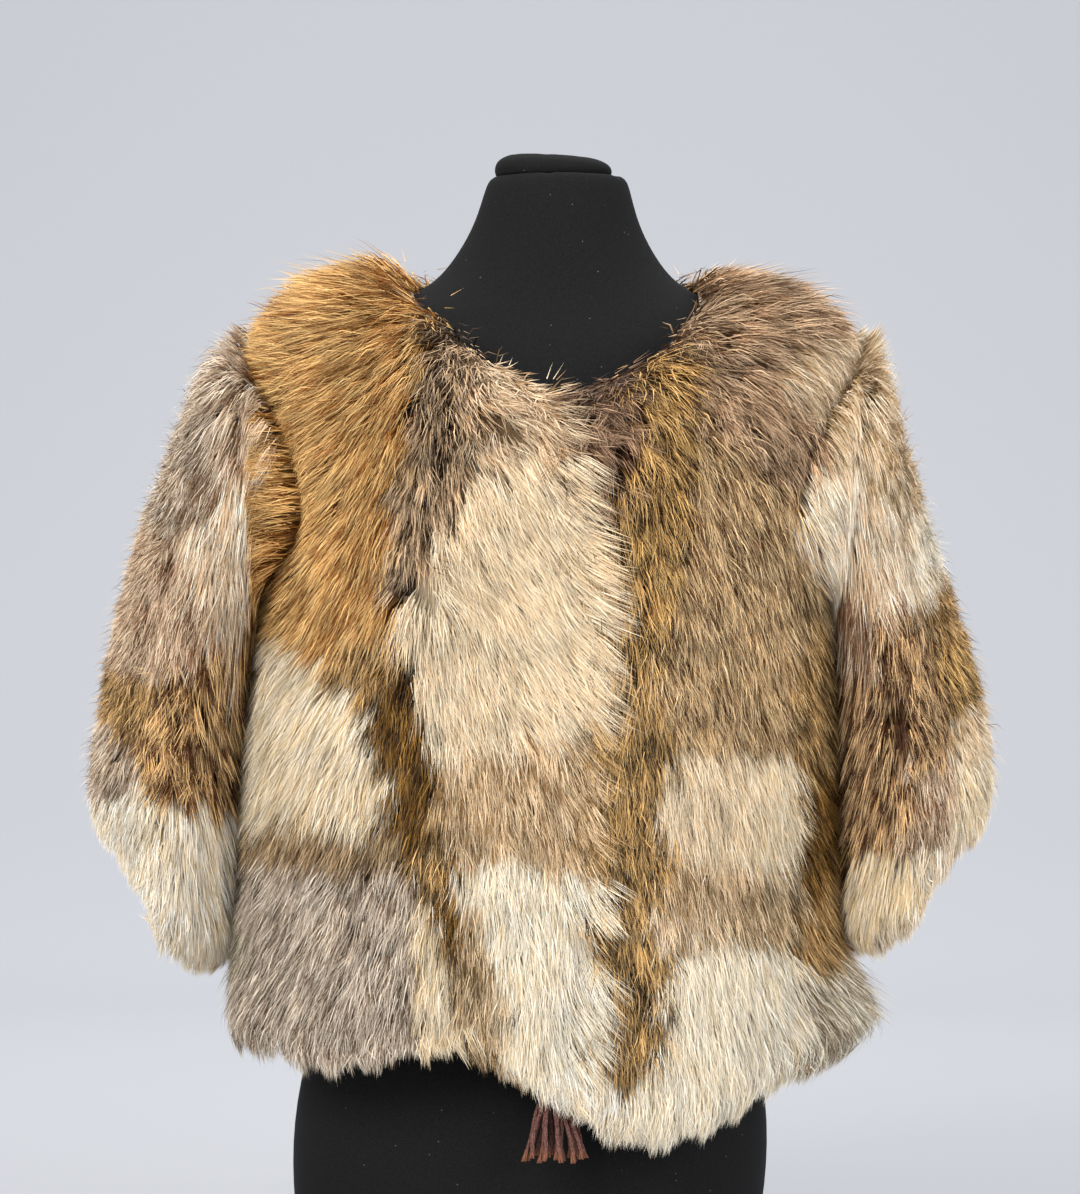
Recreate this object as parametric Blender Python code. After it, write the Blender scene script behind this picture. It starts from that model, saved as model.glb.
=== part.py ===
"""A short bolero of long-haired patchwork fur, worn by a black limbless dress form.

Metres, +Z up, and the wearer faces -Y, so the wearer's right side lies at -X. The fur is a wall with
its skin on the inside and the tips of the hair on the outside, open at the neck, hem, armholes and
cuffs. Each cut piece is one solid: two fronts, a back and two sleeves. A yarn tassel hangs inside the
front hem, and the dress form with its neck cap carries it all on the form's flat foot.
"""

import math
from collections import namedtuple

import bmesh
import bpy
import numpy as np

# The stance: the form leans a little sideways, and everything on it leans along.
HIP_HEIGHT = 0.120
LEAN = 0.0287

# Gaps between pieces that are sewn or that rest on each other.
SEAM_GAP = 0.0003
ARMHOLE_GAP = 0.0008
CONTACT_EASE = 0.0008

# The armhole, counted on the wall's rows, which run from the hem at 0 to the neck edge at 1.
UNDERARM_ALONG = 0.555
SHOULDER_TIP_ALONG = 0.860
ARMHOLE_HALF_ANGLE = math.radians(31)
ARMHOLE_STEPS = 12
ARMHOLE_MIDDLE_HEIGHT = 0.615
ARMHOLE_WALL = 0.024
ARMHOLE_TOP_WALL = 0.033
ARMHOLE_FLARE_REACH = 0.065
ARMHOLE_OUTWARD = 0.04

# Edges where the fur thins: how far back from the edge the pile is full, and what is left at it.
EDGE_REACH = 0.030
EDGE_PELT = 0.004
MEETING_REACH = 0.012
MEETING_SHARE = 0.55
HEM_LOCK = 0.004

FRONT_COLUMNS = 16
BACK_COLUMNS = 24
FORM_COLUMNS = 40
SLEEVE_ROWS = 15

TASSEL_STRANDS = 26
TASSEL_HEIGHT = 0.052
TASSEL_HALF_WIDTH = 0.020
TASSEL_HALF_DEPTH = 0.009
TASSEL_YARN = 0.0024
TASSEL_HEAD_RADIUS = 0.0062
TASSEL_HEAD_HEIGHT = 0.022
TASSEL_TIP_HEIGHT = 0.126
TASSEL_SIDEWAYS = 0.0155
TASSEL_SEAT = 0.0002

FormRow = namedtuple("FormRow", "height half_width front back squareness")
FORM_ROWS = [
    FormRow(0.000, 0.1500, 0.0940, 0.0960, 2.3),
    FormRow(0.005, 0.1560, 0.1000, 0.1020, 2.3),
    FormRow(0.016, 0.1600, 0.1040, 0.1060, 2.3),
    FormRow(0.060, 0.1700, 0.1120, 0.1150, 2.3),
    FormRow(0.120, 0.1755, 0.1180, 0.1220, 2.3),
    FormRow(0.180, 0.1680, 0.1140, 0.1160, 2.3),
    FormRow(0.250, 0.1470, 0.1020, 0.1020, 2.3),
    FormRow(0.320, 0.1280, 0.0900, 0.0880, 2.3),
    FormRow(0.380, 0.1310, 0.0940, 0.0860, 2.3),
    FormRow(0.440, 0.1410, 0.1060, 0.0900, 2.3),
    FormRow(0.500, 0.1500, 0.1200, 0.0940, 2.3),
    FormRow(0.550, 0.1545, 0.1160, 0.0980, 2.3),
    FormRow(0.600, 0.1610, 0.1040, 0.1000, 2.3),
    FormRow(0.645, 0.1740, 0.0930, 0.0980, 2.3),
    FormRow(0.675, 0.1825, 0.0840, 0.0920, 2.3),
    FormRow(0.693, 0.1830, 0.0770, 0.0860, 2.3),
    FormRow(0.704, 0.1750, 0.0720, 0.0800, 2.3),
    FormRow(0.714, 0.1580, 0.0670, 0.0750, 2.3),
    FormRow(0.723, 0.1370, 0.0635, 0.0710, 2.3),
    FormRow(0.732, 0.1140, 0.0605, 0.0675, 2.2),
    FormRow(0.743, 0.0930, 0.0580, 0.0640, 2.2),
    FormRow(0.755, 0.0800, 0.0560, 0.0610, 2.1),
    FormRow(0.774, 0.0675, 0.0540, 0.0580, 2.0),
    FormRow(0.792, 0.0590, 0.0530, 0.0560, 2.0),
    FormRow(0.812, 0.0535, 0.0510, 0.0530, 2.0),
    FormRow(0.819, 0.0512, 0.0490, 0.0508, 2.0),
    FormRow(0.8225, 0.0480, 0.0460, 0.0475, 2.0),
]

CapRow = namedtuple("CapRow", "height half_width half_depth")
NECK_CAP_ROWS = [
    CapRow(0.0000, 0.0410, 0.0400),
    CapRow(0.0035, 0.0432, 0.0420),
    CapRow(0.0080, 0.0425, 0.0415),
    CapRow(0.0115, 0.0395, 0.0385),
    CapRow(0.0140, 0.0330, 0.0320),
]
NECK_CAP_SLOPE = -0.055
NECK_CAP_SIDEWAYS = -0.0035

# The skin side of the body, row by row, with the height of the pile that stands on it.
BodyRow = namedtuple("BodyRow", "along height half_width front back pile")
BODY_ROWS = [
    BodyRow(0.00, 0.165, 0.205, 0.166, 0.170, 0.023),
    BodyRow(0.10, 0.222, 0.199, 0.163, 0.166, 0.024),
    BodyRow(0.22, 0.292, 0.193, 0.160, 0.160, 0.024),
    BodyRow(0.34, 0.366, 0.190, 0.157, 0.154, 0.023),
    BodyRow(0.46, 0.442, 0.186, 0.153, 0.148, 0.022),
    BodyRow(0.56, 0.505, 0.182, 0.149, 0.142, 0.023),
    BodyRow(0.66, 0.566, 0.181, 0.141, 0.134, 0.026),
    BodyRow(0.75, 0.622, 0.184, 0.128, 0.123, 0.030),
    BodyRow(0.81, 0.665, 0.188, 0.110, 0.112, 0.034),
    BodyRow(0.86, 0.694, 0.187, 0.090, 0.098, 0.039),
    BodyRow(0.90, 0.711, 0.167, 0.073, 0.084, 0.039),
    BodyRow(0.94, 0.725, 0.133, 0.064, 0.072, 0.032),
    BodyRow(1.00, 0.742, 0.095, 0.059, 0.065, 0.026),
]
BODY_SQUARENESS = 2.35

# Height of the neck edge on the skin side, by the signed angle from the front.
NeckPoint = namedtuple("NeckPoint", "angle height")
NECK_EDGE = [
    NeckPoint(-180, 0.742),
    NeckPoint(-110, 0.742),
    NeckPoint(-90, 0.742),
    NeckPoint(-75, 0.738),
    NeckPoint(-60, 0.723),
    NeckPoint(-45, 0.706),
    NeckPoint(-30, 0.688),
    NeckPoint(-15, 0.668),
    NeckPoint(0, 0.657),
    NeckPoint(15, 0.663),
    NeckPoint(30, 0.677),
    NeckPoint(45, 0.696),
    NeckPoint(60, 0.718),
    NeckPoint(75, 0.737),
    NeckPoint(90, 0.742),
    NeckPoint(110, 0.742),
    NeckPoint(180, 0.742),
]

# Height of the tips of the fur at the hem, by the signed angle from the front.
HemPoint = namedtuple("HemPoint", "angle height")
HEM_EDGE = [
    HemPoint(-180, 0.186),
    HemPoint(-140, 0.190),
    HemPoint(-90, 0.190),
    HemPoint(-60, 0.186),
    HemPoint(-45, 0.181),
    HemPoint(-32, 0.189),
    HemPoint(-20, 0.197),
    HemPoint(-9, 0.184),
    HemPoint(3, 0.165),
    HemPoint(14, 0.144),
    HemPoint(26, 0.133),
    HemPoint(38, 0.140),
    HemPoint(50, 0.156),
    HemPoint(65, 0.170),
    HemPoint(90, 0.184),
    HemPoint(140, 0.190),
    HemPoint(180, 0.186),
]
HEM_SHIFT_REACH = 0.42

# Where the two fronts meet, sideways from the middle.
MeetingPoint = namedtuple("MeetingPoint", "height sideways")
FRONT_MEETING = [
    MeetingPoint(0.150, 0.008),
    MeetingPoint(0.180, 0.016),
    MeetingPoint(0.205, 0.024),
    MeetingPoint(0.240, 0.030),
    MeetingPoint(0.309, 0.032),
    MeetingPoint(0.343, 0.029),
    MeetingPoint(0.405, 0.025),
    MeetingPoint(0.446, 0.027),
    MeetingPoint(0.487, 0.023),
    MeetingPoint(0.545, 0.013),
    MeetingPoint(0.603, 0.002),
    MeetingPoint(0.670, -0.006),
]

# Folds that fall from the chest to the hem: valleys in the wall, deepest at the hem.
Fold = namedtuple("Fold", "angle_above angle_at_hem half_angle depth begins")
FOLDS = [
    Fold(-38, -14, 8.5, 0.020, 0.82),
    Fold(-62, -58, 8.0, 0.006, 0.40),
    Fold(24, 17, 7.0, 0.005, 0.50),
    Fold(60, 56, 9.0, 0.012, 0.60),
    Fold(112, 108, 10.0, 0.010, 0.45),
    Fold(150, 146, 10.0, 0.012, 0.60),
    Fold(-172, -174, 11.0, 0.009, 0.55),
    Fold(-140, -143, 10.0, 0.012, 0.60),
    Fold(-108, -106, 10.0, 0.009, 0.45),
]

# Loose tufts of fur that stand higher than the rest, as low mounds on the hair's side.
Mound = namedtuple("Mound", "angle height half_angle half_height lift")
MOUNDS = [
    Mound(-78, 0.728, 15, 0.028, 0.012),
    Mound(-28, 0.260, 14, 0.060, 0.005),
    Mound(8, 0.650, 14, 0.030, 0.005),
    Mound(-86, 0.205, 15, 0.034, -0.002),
    Mound(86, 0.208, 15, 0.036, 0.031),
]

# The sleeve seen from the front: its outer and inner lines, and its half depth.
SleeveRow = namedtuple("SleeveRow", "along outer_x outer_z inner_x inner_z half_depth")
SLEEVE_SECTIONS = [
    SleeveRow(0.00, 0.221, 0.722, 0.2050, 0.503, 0.104),
    SleeveRow(0.12, 0.238, 0.704, 0.2075, 0.487, 0.106),
    SleeveRow(0.30, 0.263, 0.645, 0.2100, 0.455, 0.110),
    SleeveRow(0.50, 0.294, 0.556, 0.2127, 0.406, 0.114),
    SleeveRow(0.70, 0.320, 0.465, 0.2160, 0.350, 0.117),
    SleeveRow(0.87, 0.332, 0.395, 0.2190, 0.300, 0.119),
    SleeveRow(1.00, 0.331, 0.343, 0.2225, 0.262, 0.118),
]
SLEEVE_WALL = 0.024
SLEEVE_BLEND_UNDER = 0.36
SLEEVE_BLEND_TOP = 0.20
CUFF_FRONT_DROP = 0.007

# Each sleeve: the side it is on, how far its cuff's inner end drops, and its front crease.
SleeveSide = namedtuple("SleeveSide", "name side inner_drop crease_above crease_at_cuff depth")
FullnessRow = namedtuple("FullnessRow", "along right_sleeve left_sleeve")
SLEEVE_FULLNESS = [
    FullnessRow(0.00, 0.003, 0.000),
    FullnessRow(0.15, 0.008, -0.002),
    FullnessRow(0.35, 0.008, -0.009),
    FullnessRow(0.55, 0.005, -0.010),
    FullnessRow(0.75, -0.003, -0.005),
    FullnessRow(1.00, -0.005, -0.004),
]
SLEEVES = [
    SleeveSide("right_sleeve", -1, 0.018, 52, 70, 0.012),
    SleeveSide("left_sleeve", 1, 0.004, 50, 62, 0.012),
]
CREASE_HALF_ANGLE = math.radians(11)


def smooth(rows, by, name, at):
    """A column of a table as a smooth curve over another column, read at the places given."""
    places = np.array([getattr(row, by) for row in rows], float)
    values = np.array([getattr(row, name) for row in rows], float)
    steps = np.diff(places)
    slopes = np.diff(values) / steps
    tangents = np.concatenate([slopes[:1], slopes[1:], slopes[-1:]])
    tangents[1:-1] = (slopes[:-1] * steps[1:] + slopes[1:] * steps[:-1]) / (steps[:-1] + steps[1:])
    at = np.clip(np.asarray(at, float), places[0], places[-1])
    i = np.clip(np.searchsorted(places, at, side="right") - 1, 0, len(steps) - 1)
    t = (at - places[i]) / steps[i]
    start = values[i] * (1 + 2 * t) * (1 - t) ** 2 + tangents[i] * steps[i] * t * (1 - t) ** 2
    end = values[i + 1] * t**2 * (3 - 2 * t) + tangents[i + 1] * steps[i] * t**2 * (t - 1)
    return start + end


def eased(share):
    """0 to 1 with a soft start and a soft end."""
    share = np.clip(share, 0, 1)
    return share * share * (3 - 2 * share)


def rounded(distance, reach):
    """The height of a quarter round, from 0 at an edge to 1 at its reach."""
    left = 1 - np.clip(distance / reach, 0, 1)
    return np.sqrt(np.maximum(1 - left * left, 0))


def ring_radius(angle, half_width, front, back, squareness):
    """Distance from the axis to a ring with soft corners, by the angle from the front."""
    depth = np.where(np.cos(angle) > 0, front, back)
    across = np.abs(np.sin(angle)) / half_width
    forward = np.abs(np.cos(angle)) / depth
    return (across**squareness + forward**squareness) ** (-1 / squareness)


def ring_points(angle, radius, height):
    """Points at these angles, distances from the axis and heights."""
    height = np.broadcast_to(height, np.shape(radius))
    return np.stack([radius * np.sin(angle), -radius * np.cos(angle), height], axis=-1)


def unit(vectors):
    return vectors / np.maximum(np.linalg.norm(vectors, axis=-1, keepdims=True), 1e-12)


def signed_degrees(angle):
    """An angle from the front in degrees, from -180 to 180."""
    return (np.degrees(angle) + 180) % 360 - 180


def body_skin(angle, along, folded=True):
    """The skin side of the bolero's body, at an angle from the front and a place up the row."""
    degrees = signed_degrees(angle)
    neck_height = smooth(NECK_EDGE, "angle", "height", degrees)
    heights = np.array([row.height for row in BODY_ROWS])
    places = np.array([row.along for row in BODY_ROWS])
    reached = along * np.interp(neck_height, heights, places)
    height = smooth(BODY_ROWS, "along", "height", reached)
    half_width = smooth(BODY_ROWS, "along", "half_width", reached)
    front = smooth(BODY_ROWS, "along", "front", reached)
    back = smooth(BODY_ROWS, "along", "back", reached)
    half_width = np.maximum(half_width, form_size("half_width", height) + CONTACT_EASE)
    front = np.maximum(front, form_size("front", height) + CONTACT_EASE)
    back = np.maximum(back, form_size("back", height) + CONTACT_EASE)
    radius = ring_radius(angle, half_width, front, back, BODY_SQUARENESS)
    for fold in FOLDS if folded else []:
        fall = eased((fold.begins - along) / (0.6 * fold.begins))
        middle = fold.angle_at_hem + (fold.angle_above - fold.angle_at_hem) * along / fold.begins
        away = (degrees - middle + 180) % 360 - 180
        radius = radius - fold.depth * fall * np.exp(-((away / fold.half_angle) ** 2))
    shift = smooth(HEM_EDGE, "angle", "height", degrees) - BODY_ROWS[0].height
    height = height + shift * np.clip(1 - along / HEM_SHIFT_REACH, 0, 1) ** 2
    return ring_points(angle, radius, height)


def body_outward(angle, along):
    """The way the pile stands: unit normals of the skin as it would be with no folds."""
    step = 1e-3
    across = body_skin(angle + step, along, False) - body_skin(angle - step, along, False)
    up = body_skin(angle, along + step, False) - body_skin(angle, along - step, False)
    return unit(np.cross(across, up))


def body_pile(angle, along, skin):
    """Height of the pile on the skin, with the mounds where it stands higher."""
    pile = smooth(BODY_ROWS, "along", "pile", along)
    degrees = signed_degrees(angle)
    for mound in MOUNDS:
        away = (degrees - mound.angle + 180) % 360 - 180
        rise = (skin[..., 2] - mound.height) / mound.half_height
        pile = pile + mound.lift * np.exp(-((away / mound.half_angle) ** 2) - rise**2)
    return pile


def form_size(name, height):
    return smooth(FORM_ROWS, "height", name, height)


def body_rows():
    """Places of the wall's rows from hem to neck edge, closer at the edges and round the armhole."""
    hem = [0.000, 0.008, 0.024, 0.050]
    below = list(np.linspace(0.110, UNDERARM_ALONG, 8)[:-1])
    turn = np.pi * np.arange(ARMHOLE_STEPS + 1) / ARMHOLE_STEPS
    beside = UNDERARM_ALONG + (SHOULDER_TIP_ALONG - UNDERARM_ALONG) * (1 - np.cos(turn)) / 2
    above = [0.895, 0.930, 0.960, 0.980, 0.993, 1.000]
    return np.array(hem + below + list(beside) + above), len(hem) + len(below)


ROWS, UNDERARM_ROW = body_rows()
TIP_ROW = UNDERARM_ROW + ARMHOLE_STEPS


def notch(rows):
    """Half the armhole's angle at each row, 0 below the underarm and above the shoulder tip."""
    half = np.zeros(len(rows))
    turn = np.pi * np.arange(ARMHOLE_STEPS + 1) / ARMHOLE_STEPS
    half[UNDERARM_ROW : TIP_ROW + 1] = ARMHOLE_HALF_ANGLE * np.sin(turn) ** 1.6
    return half


def row_rounding():
    """How full the pile is at each row: it rounds off at the hem and at the neck edge."""
    length = BODY_ROWS[-1].height - BODY_ROWS[0].height
    return rounded(ROWS * length, EDGE_REACH) * rounded((1 - ROWS) * length * 2, EDGE_REACH)


def meeting_angle(rows, side):
    """The angle at which a front ends at each row, a seam gap short of the other front."""
    angle = np.zeros(len(rows))
    for _ in range(6):
        skin = body_skin(angle, rows)
        sideways = smooth(FRONT_MEETING, "height", "sideways", skin[:, 2])
        angle = np.arctan2(sideways, -skin[:, 1])
    return angle + side * SEAM_GAP * 2 / np.abs(skin[:, 1])


def wall_edge(angle, rows):
    """Skin and hair points of the wall along one line of angles, before any flare."""
    skin = body_skin(angle, rows)
    pile = EDGE_PELT + (body_pile(angle, rows, skin) - EDGE_PELT) * row_rounding()
    return skin, skin + body_outward(angle, rows) * pile[..., None]


def armhole_flare(side, back):
    """How far the skin turns out at each row of the armhole's edge, so that the wall meets the sleeve."""
    quarter = np.pi / 2 * side
    angle = quarter + notch(ROWS) * side * (1 if back else -1)
    skin, hair = wall_edge(angle, ROWS)
    inside = armhole_inner(hair)
    flare = inside - skin
    length = np.concatenate([[0], np.cumsum(np.linalg.norm(np.diff(skin, axis=0), axis=1))])
    fade = np.ones(len(ROWS))
    fade[:UNDERARM_ROW] = np.exp(-(((length[UNDERARM_ROW] - length[:UNDERARM_ROW]) / 0.045) ** 2))
    fade[TIP_ROW + 1 :] = np.exp(-(((length[TIP_ROW + 1 :] - length[TIP_ROW]) / 0.030) ** 2))
    flare[:UNDERARM_ROW] = flare[UNDERARM_ROW]
    flare[TIP_ROW + 1 :] = flare[TIP_ROW]
    return flare * fade[:, None]


def armhole_inner(hair):
    """The skin side of the armhole's edge: in from the hair towards the armhole's middle."""
    inward = np.stack(
        [np.zeros(len(hair)), -hair[:, 1], ARMHOLE_MIDDLE_HEIGHT - hair[:, 2]], axis=-1
    )
    upper = np.clip((hair[:, 2] - ARMHOLE_MIDDLE_HEIGHT) / 0.12, 0, 1) ** 2
    thick = ARMHOLE_WALL + (ARMHOLE_TOP_WALL - ARMHOLE_WALL) * upper
    return hair + unit(inward) * thick[:, None]


def armhole_loop(side):
    """Hair and skin points round an armhole: up the front from the underarm, then down the back."""
    turn = notch(ROWS)[UNDERARM_ROW : TIP_ROW + 1]
    rows = ROWS[UNDERARM_ROW : TIP_ROW + 1]
    angles = np.concatenate([np.pi / 2 - turn, np.pi / 2 + turn[-2:0:-1]]) * side
    rows = np.concatenate([rows, rows[-2:0:-1]])
    skin = body_skin(angles, rows)
    pile = body_pile(angles, rows, skin)
    hair = skin + body_outward(angles, rows) * pile[:, None]
    return hair, armhole_inner(hair)


def body_panel(angles, flares, edge_distance=None):
    """Hair and skin grids of a body panel. angles is rows by columns, flares one for each side edge."""
    rows = np.broadcast_to(ROWS[:, None], angles.shape)
    skin = body_skin(angles, rows)
    outward = body_outward(angles, rows)
    full = body_pile(angles, rows, skin)
    fullness = row_rounding()[:, None] * np.ones(angles.shape)
    if edge_distance is not None:
        at_edge = MEETING_SHARE + (1 - MEETING_SHARE) * rounded(edge_distance, MEETING_REACH)
        fullness = fullness * at_edge
    hair = skin + outward * (EDGE_PELT + (full - EDGE_PELT) * fullness)[..., None]
    locks = HEM_LOCK * np.where(np.arange(angles.shape[1]) % 2, 1, -1)
    locks[[0, -1]] = 0
    for row, share in ((0, 1.0), (1, 0.9), (2, 0.4)):
        hair[row, :, 2] += locks * share
        skin[row, :, 2] += locks * share
    inner = skin.copy()
    for column, flare in flares.items():
        away = np.linalg.norm(skin - skin[:, [column]], axis=-1)
        inner += flare[:, None] * (np.clip(1 - away / ARMHOLE_FLARE_REACH, 0, 1) ** 2)[..., None]
    return hair, inner


def seam_angle():
    """Half the gap of a side or shoulder seam at each row, as an angle."""
    return SEAM_GAP / 2 / smooth(BODY_ROWS, "along", "half_width", ROWS)


def front_panel(side):
    """The front on one side, from the side seam and armhole to where the fronts meet."""
    share = np.linspace(0, 1, FRONT_COLUMNS + 1)
    share = share + 0.055 * np.sin(2 * np.pi * share) * share
    start = (np.pi / 2 - notch(ROWS) - seam_angle()) * side
    end = meeting_angle(ROWS, side)
    angles = start[:, None] + (end - start)[:, None] * share
    skin = body_skin(angles, np.broadcast_to(ROWS[:, None], angles.shape))
    edge_distance = np.linalg.norm(skin - skin[:, [-1]], axis=-1)
    return body_panel(angles, {0: armhole_flare(side, back=False)}, edge_distance)


def back_panel():
    """The back, from one side seam and armhole round to the other."""
    share = np.linspace(0, 1, BACK_COLUMNS + 1)
    start = np.pi / 2 + notch(ROWS) + seam_angle()
    angles = start[:, None] + (2 * np.pi - 2 * start)[:, None] * share
    return body_panel(
        angles, {0: armhole_flare(1, back=True), -1: armhole_flare(-1, back=True)}
    )


def sleeve_hair(sleeve, turn, along):
    """The hair side of a sleeve, by the turn round it from the underarm and the way down it."""
    row = {
        name: smooth(SLEEVE_SECTIONS, "along", name, along)
        for name in ("outer_x", "outer_z", "inner_x", "inner_z", "half_depth")
    }
    inner_z = row["inner_z"] - sleeve.inner_drop * along**2
    up, forward = -np.cos(turn), np.sin(turn)
    x = (row["outer_x"] + row["inner_x"]) / 2 + (row["outer_x"] - row["inner_x"]) / 2 * up
    x = x + smooth(SLEEVE_FULLNESS, "along", sleeve.name, along) * (1 + up) / 2
    z = (row["outer_z"] + inner_z) / 2 + (row["outer_z"] - inner_z) / 2 * up
    z = z - CUFF_FRONT_DROP * forward * along**4
    return np.stack([x * sleeve.side, -row["half_depth"] * forward, z], axis=-1)


def sleeve_wall(sleeve):
    """Hair and skin grids of a sleeve, rings from the armhole down to the cuff."""
    loop_hair, loop_skin = armhole_loop(sleeve.side)
    count = len(loop_hair)
    turn = 2 * np.pi * np.arange(count) / count
    along = np.linspace(0, 1, SLEEVE_ROWS) ** 0.92
    along = np.sort(np.concatenate([along, [0.975, 0.992]]))
    turns, alongs = np.meshgrid(turn, along)
    top = np.clip(-np.cos(turns), 0, 1) ** 2
    reach = SLEEVE_BLEND_UNDER + (SLEEVE_BLEND_TOP - SLEEVE_BLEND_UNDER) * top
    blend = eased(alongs / reach)[..., None]
    hair = loop_hair[None] * (1 - blend) + sleeve_hair(sleeve, turns, alongs) * blend

    gradient_down = np.gradient(hair, axis=0)
    ahead = np.roll(hair, -1, axis=1) - np.roll(hair, 1, axis=1)
    outward = unit(np.cross(gradient_down, ahead)) * sleeve.side
    thick = SLEEVE_WALL + (ARMHOLE_TOP_WALL - SLEEVE_WALL) * (1 - eased(alongs / 0.5)) * (
        np.clip(-np.cos(turns), 0, 1)
    )
    offset_skin = hair - outward * thick[..., None]
    loop_offset = (loop_skin - loop_hair)[None] + hair
    skin = loop_offset * (1 - blend) + offset_skin * blend
    for side_of_wall, loop in ((hair, loop_hair), (skin, loop_skin)):
        least = loop[None, :, 0] * sleeve.side + ARMHOLE_OUTWARD * np.minimum(alongs, 0.1)
        side_of_wall[..., 0] = np.maximum(side_of_wall[..., 0] * sleeve.side, least) * sleeve.side

    crease = np.radians(
        180 - (sleeve.crease_above + (sleeve.crease_at_cuff - sleeve.crease_above) * alongs)
    )
    dip = sleeve.depth * np.exp(-(((turns - crease) / CREASE_HALF_ANGLE) ** 2))
    hair = hair - outward * (dip * eased(alongs / 0.3))[..., None]

    length = (1 - alongs) * 0.33
    fullness = rounded(length, EDGE_REACH)[..., None]
    pelt = skin + unit(hair - skin) * EDGE_PELT
    hair = pelt + (hair - pelt) * fullness
    locks = HEM_LOCK * np.where(np.arange(count) % 2, 1, -1)
    for row, share in ((-1, 1.0), (-2, 0.9), (-3, 0.4)):
        hair[row, :, 2] += locks * share
        skin[row, :, 2] += locks * share
    apart = np.array([ARMHOLE_GAP * sleeve.side, 0, 0])
    return hair + apart, skin + apart


def leaned(points):
    """The points, moved sideways with their height as the form leans."""
    moved = np.array(points, float)
    moved[..., 0] += LEAN * (moved[..., 2] - HIP_HEIGHT)
    return moved


def add_object(name, points, faces, material, smooth_below=40):
    """A closed mesh object with its faces pointing out."""
    mesh = bpy.data.meshes.new(name)
    mesh.from_pydata([tuple(p) for p in points], [], faces)
    shape = bmesh.new()
    shape.from_mesh(mesh)
    bmesh.ops.recalc_face_normals(shape, faces=shape.faces)
    shape.to_mesh(mesh)
    shape.free()
    mesh.shade_smooth()
    mesh.set_sharp_from_angle(angle=math.radians(smooth_below))
    mesh.materials.append(material)
    made = bpy.data.objects.new(name, mesh)
    bpy.context.scene.collection.objects.link(made)
    return made


def wall_object(name, hair, skin, material, closed_round):
    """A wall between two grids of the same shape, closed along its edges, or a tube if closed round."""
    rows, columns = hair.shape[:2]
    points = np.concatenate([hair.reshape(-1, 3), skin.reshape(-1, 3)])
    inner = rows * columns

    def at(row, column):
        return row * columns + column % columns

    faces = []
    for row in range(rows - 1):
        for column in range(columns if closed_round else columns - 1):
            corners = [at(row, column), at(row, column + 1), at(row + 1, column + 1), at(row + 1, column)]
            faces.append(corners)
            faces.append([inner + c for c in reversed(corners)])
    rims = []
    for row in (0, rows - 1):
        rims += [(at(row, c), at(row, c + 1)) for c in range(columns if closed_round else columns - 1)]
    if not closed_round:
        for column in (0, columns - 1):
            rims += [(at(r, column), at(r + 1, column)) for r in range(rows - 1)]
    for first, second in rims:
        low, high = sorted((first, second), key=lambda i: points[i][2])
        faces.append([low, high, inner + high])
        faces.append([low, inner + high, inner + low])
    return add_object(name, leaned(points), faces, material)


def stacked_object(name, rings, material):
    """A solid from rings of points, closed with a flat face at each end."""
    count, around = rings.shape[:2]
    points = rings.reshape(-1, 3)
    faces = [
        [r * around + c, r * around + (c + 1) % around, (r + 1) * around + (c + 1) % around, (r + 1) * around + c]
        for r in range(count - 1)
        for c in range(around)
    ]
    faces.append(list(range(around)))
    faces.append([(count - 1) * around + c for c in range(around)])
    return add_object(name, leaned(points), faces, material)


def dress_form(material):
    """The torso from its flat foot to the rim of its neck."""
    angle = 2 * np.pi * np.arange(FORM_COLUMNS) / FORM_COLUMNS
    rings = []
    for row in FORM_ROWS:
        radius = ring_radius(angle, row.half_width, row.front, row.back, row.squareness)
        rings.append(ring_points(angle, radius, row.height))
    return stacked_object("dress_form", np.array(rings), material)


def neck_cap(material):
    """The cloth-covered block that closes the neck, sloping a little sideways."""
    angle = 2 * np.pi * np.arange(32) / 32
    foot = FORM_ROWS[-1].height + SEAM_GAP
    rings = []
    for row in NECK_CAP_ROWS:
        radius = ring_radius(angle, row.half_width, row.half_depth, row.half_depth, 2.4)
        ring = ring_points(angle, radius, foot + row.height)
        ring[:, 2] += NECK_CAP_SLOPE * ring[:, 0] * row.height / NECK_CAP_ROWS[-1].height
        ring[:, 0] += NECK_CAP_SIDEWAYS
        rings.append(ring)
    return stacked_object("neck_cap", np.array(rings), material)


def yarn(points, thickness):
    """A four-sided strand of yarn along these points, as points and faces."""
    points = np.array(points)
    made = []
    for point in points:
        for turn in range(4):
            angle = math.pi / 4 + turn * math.pi / 2
            side = [math.cos(angle) * thickness / 2, math.sin(angle) * thickness / 2, 0]
            made.append(point + side)
    faces = [
        [r * 4 + c, r * 4 + (c + 1) % 4, (r + 1) * 4 + (c + 1) % 4, (r + 1) * 4 + c]
        for r in range(len(points) - 1)
        for c in range(4)
    ]
    last = (len(points) - 1) * 4
    faces += [[3, 2, 1, 0], [last, last + 1, last + 2, last + 3]]
    return made, faces


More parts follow.
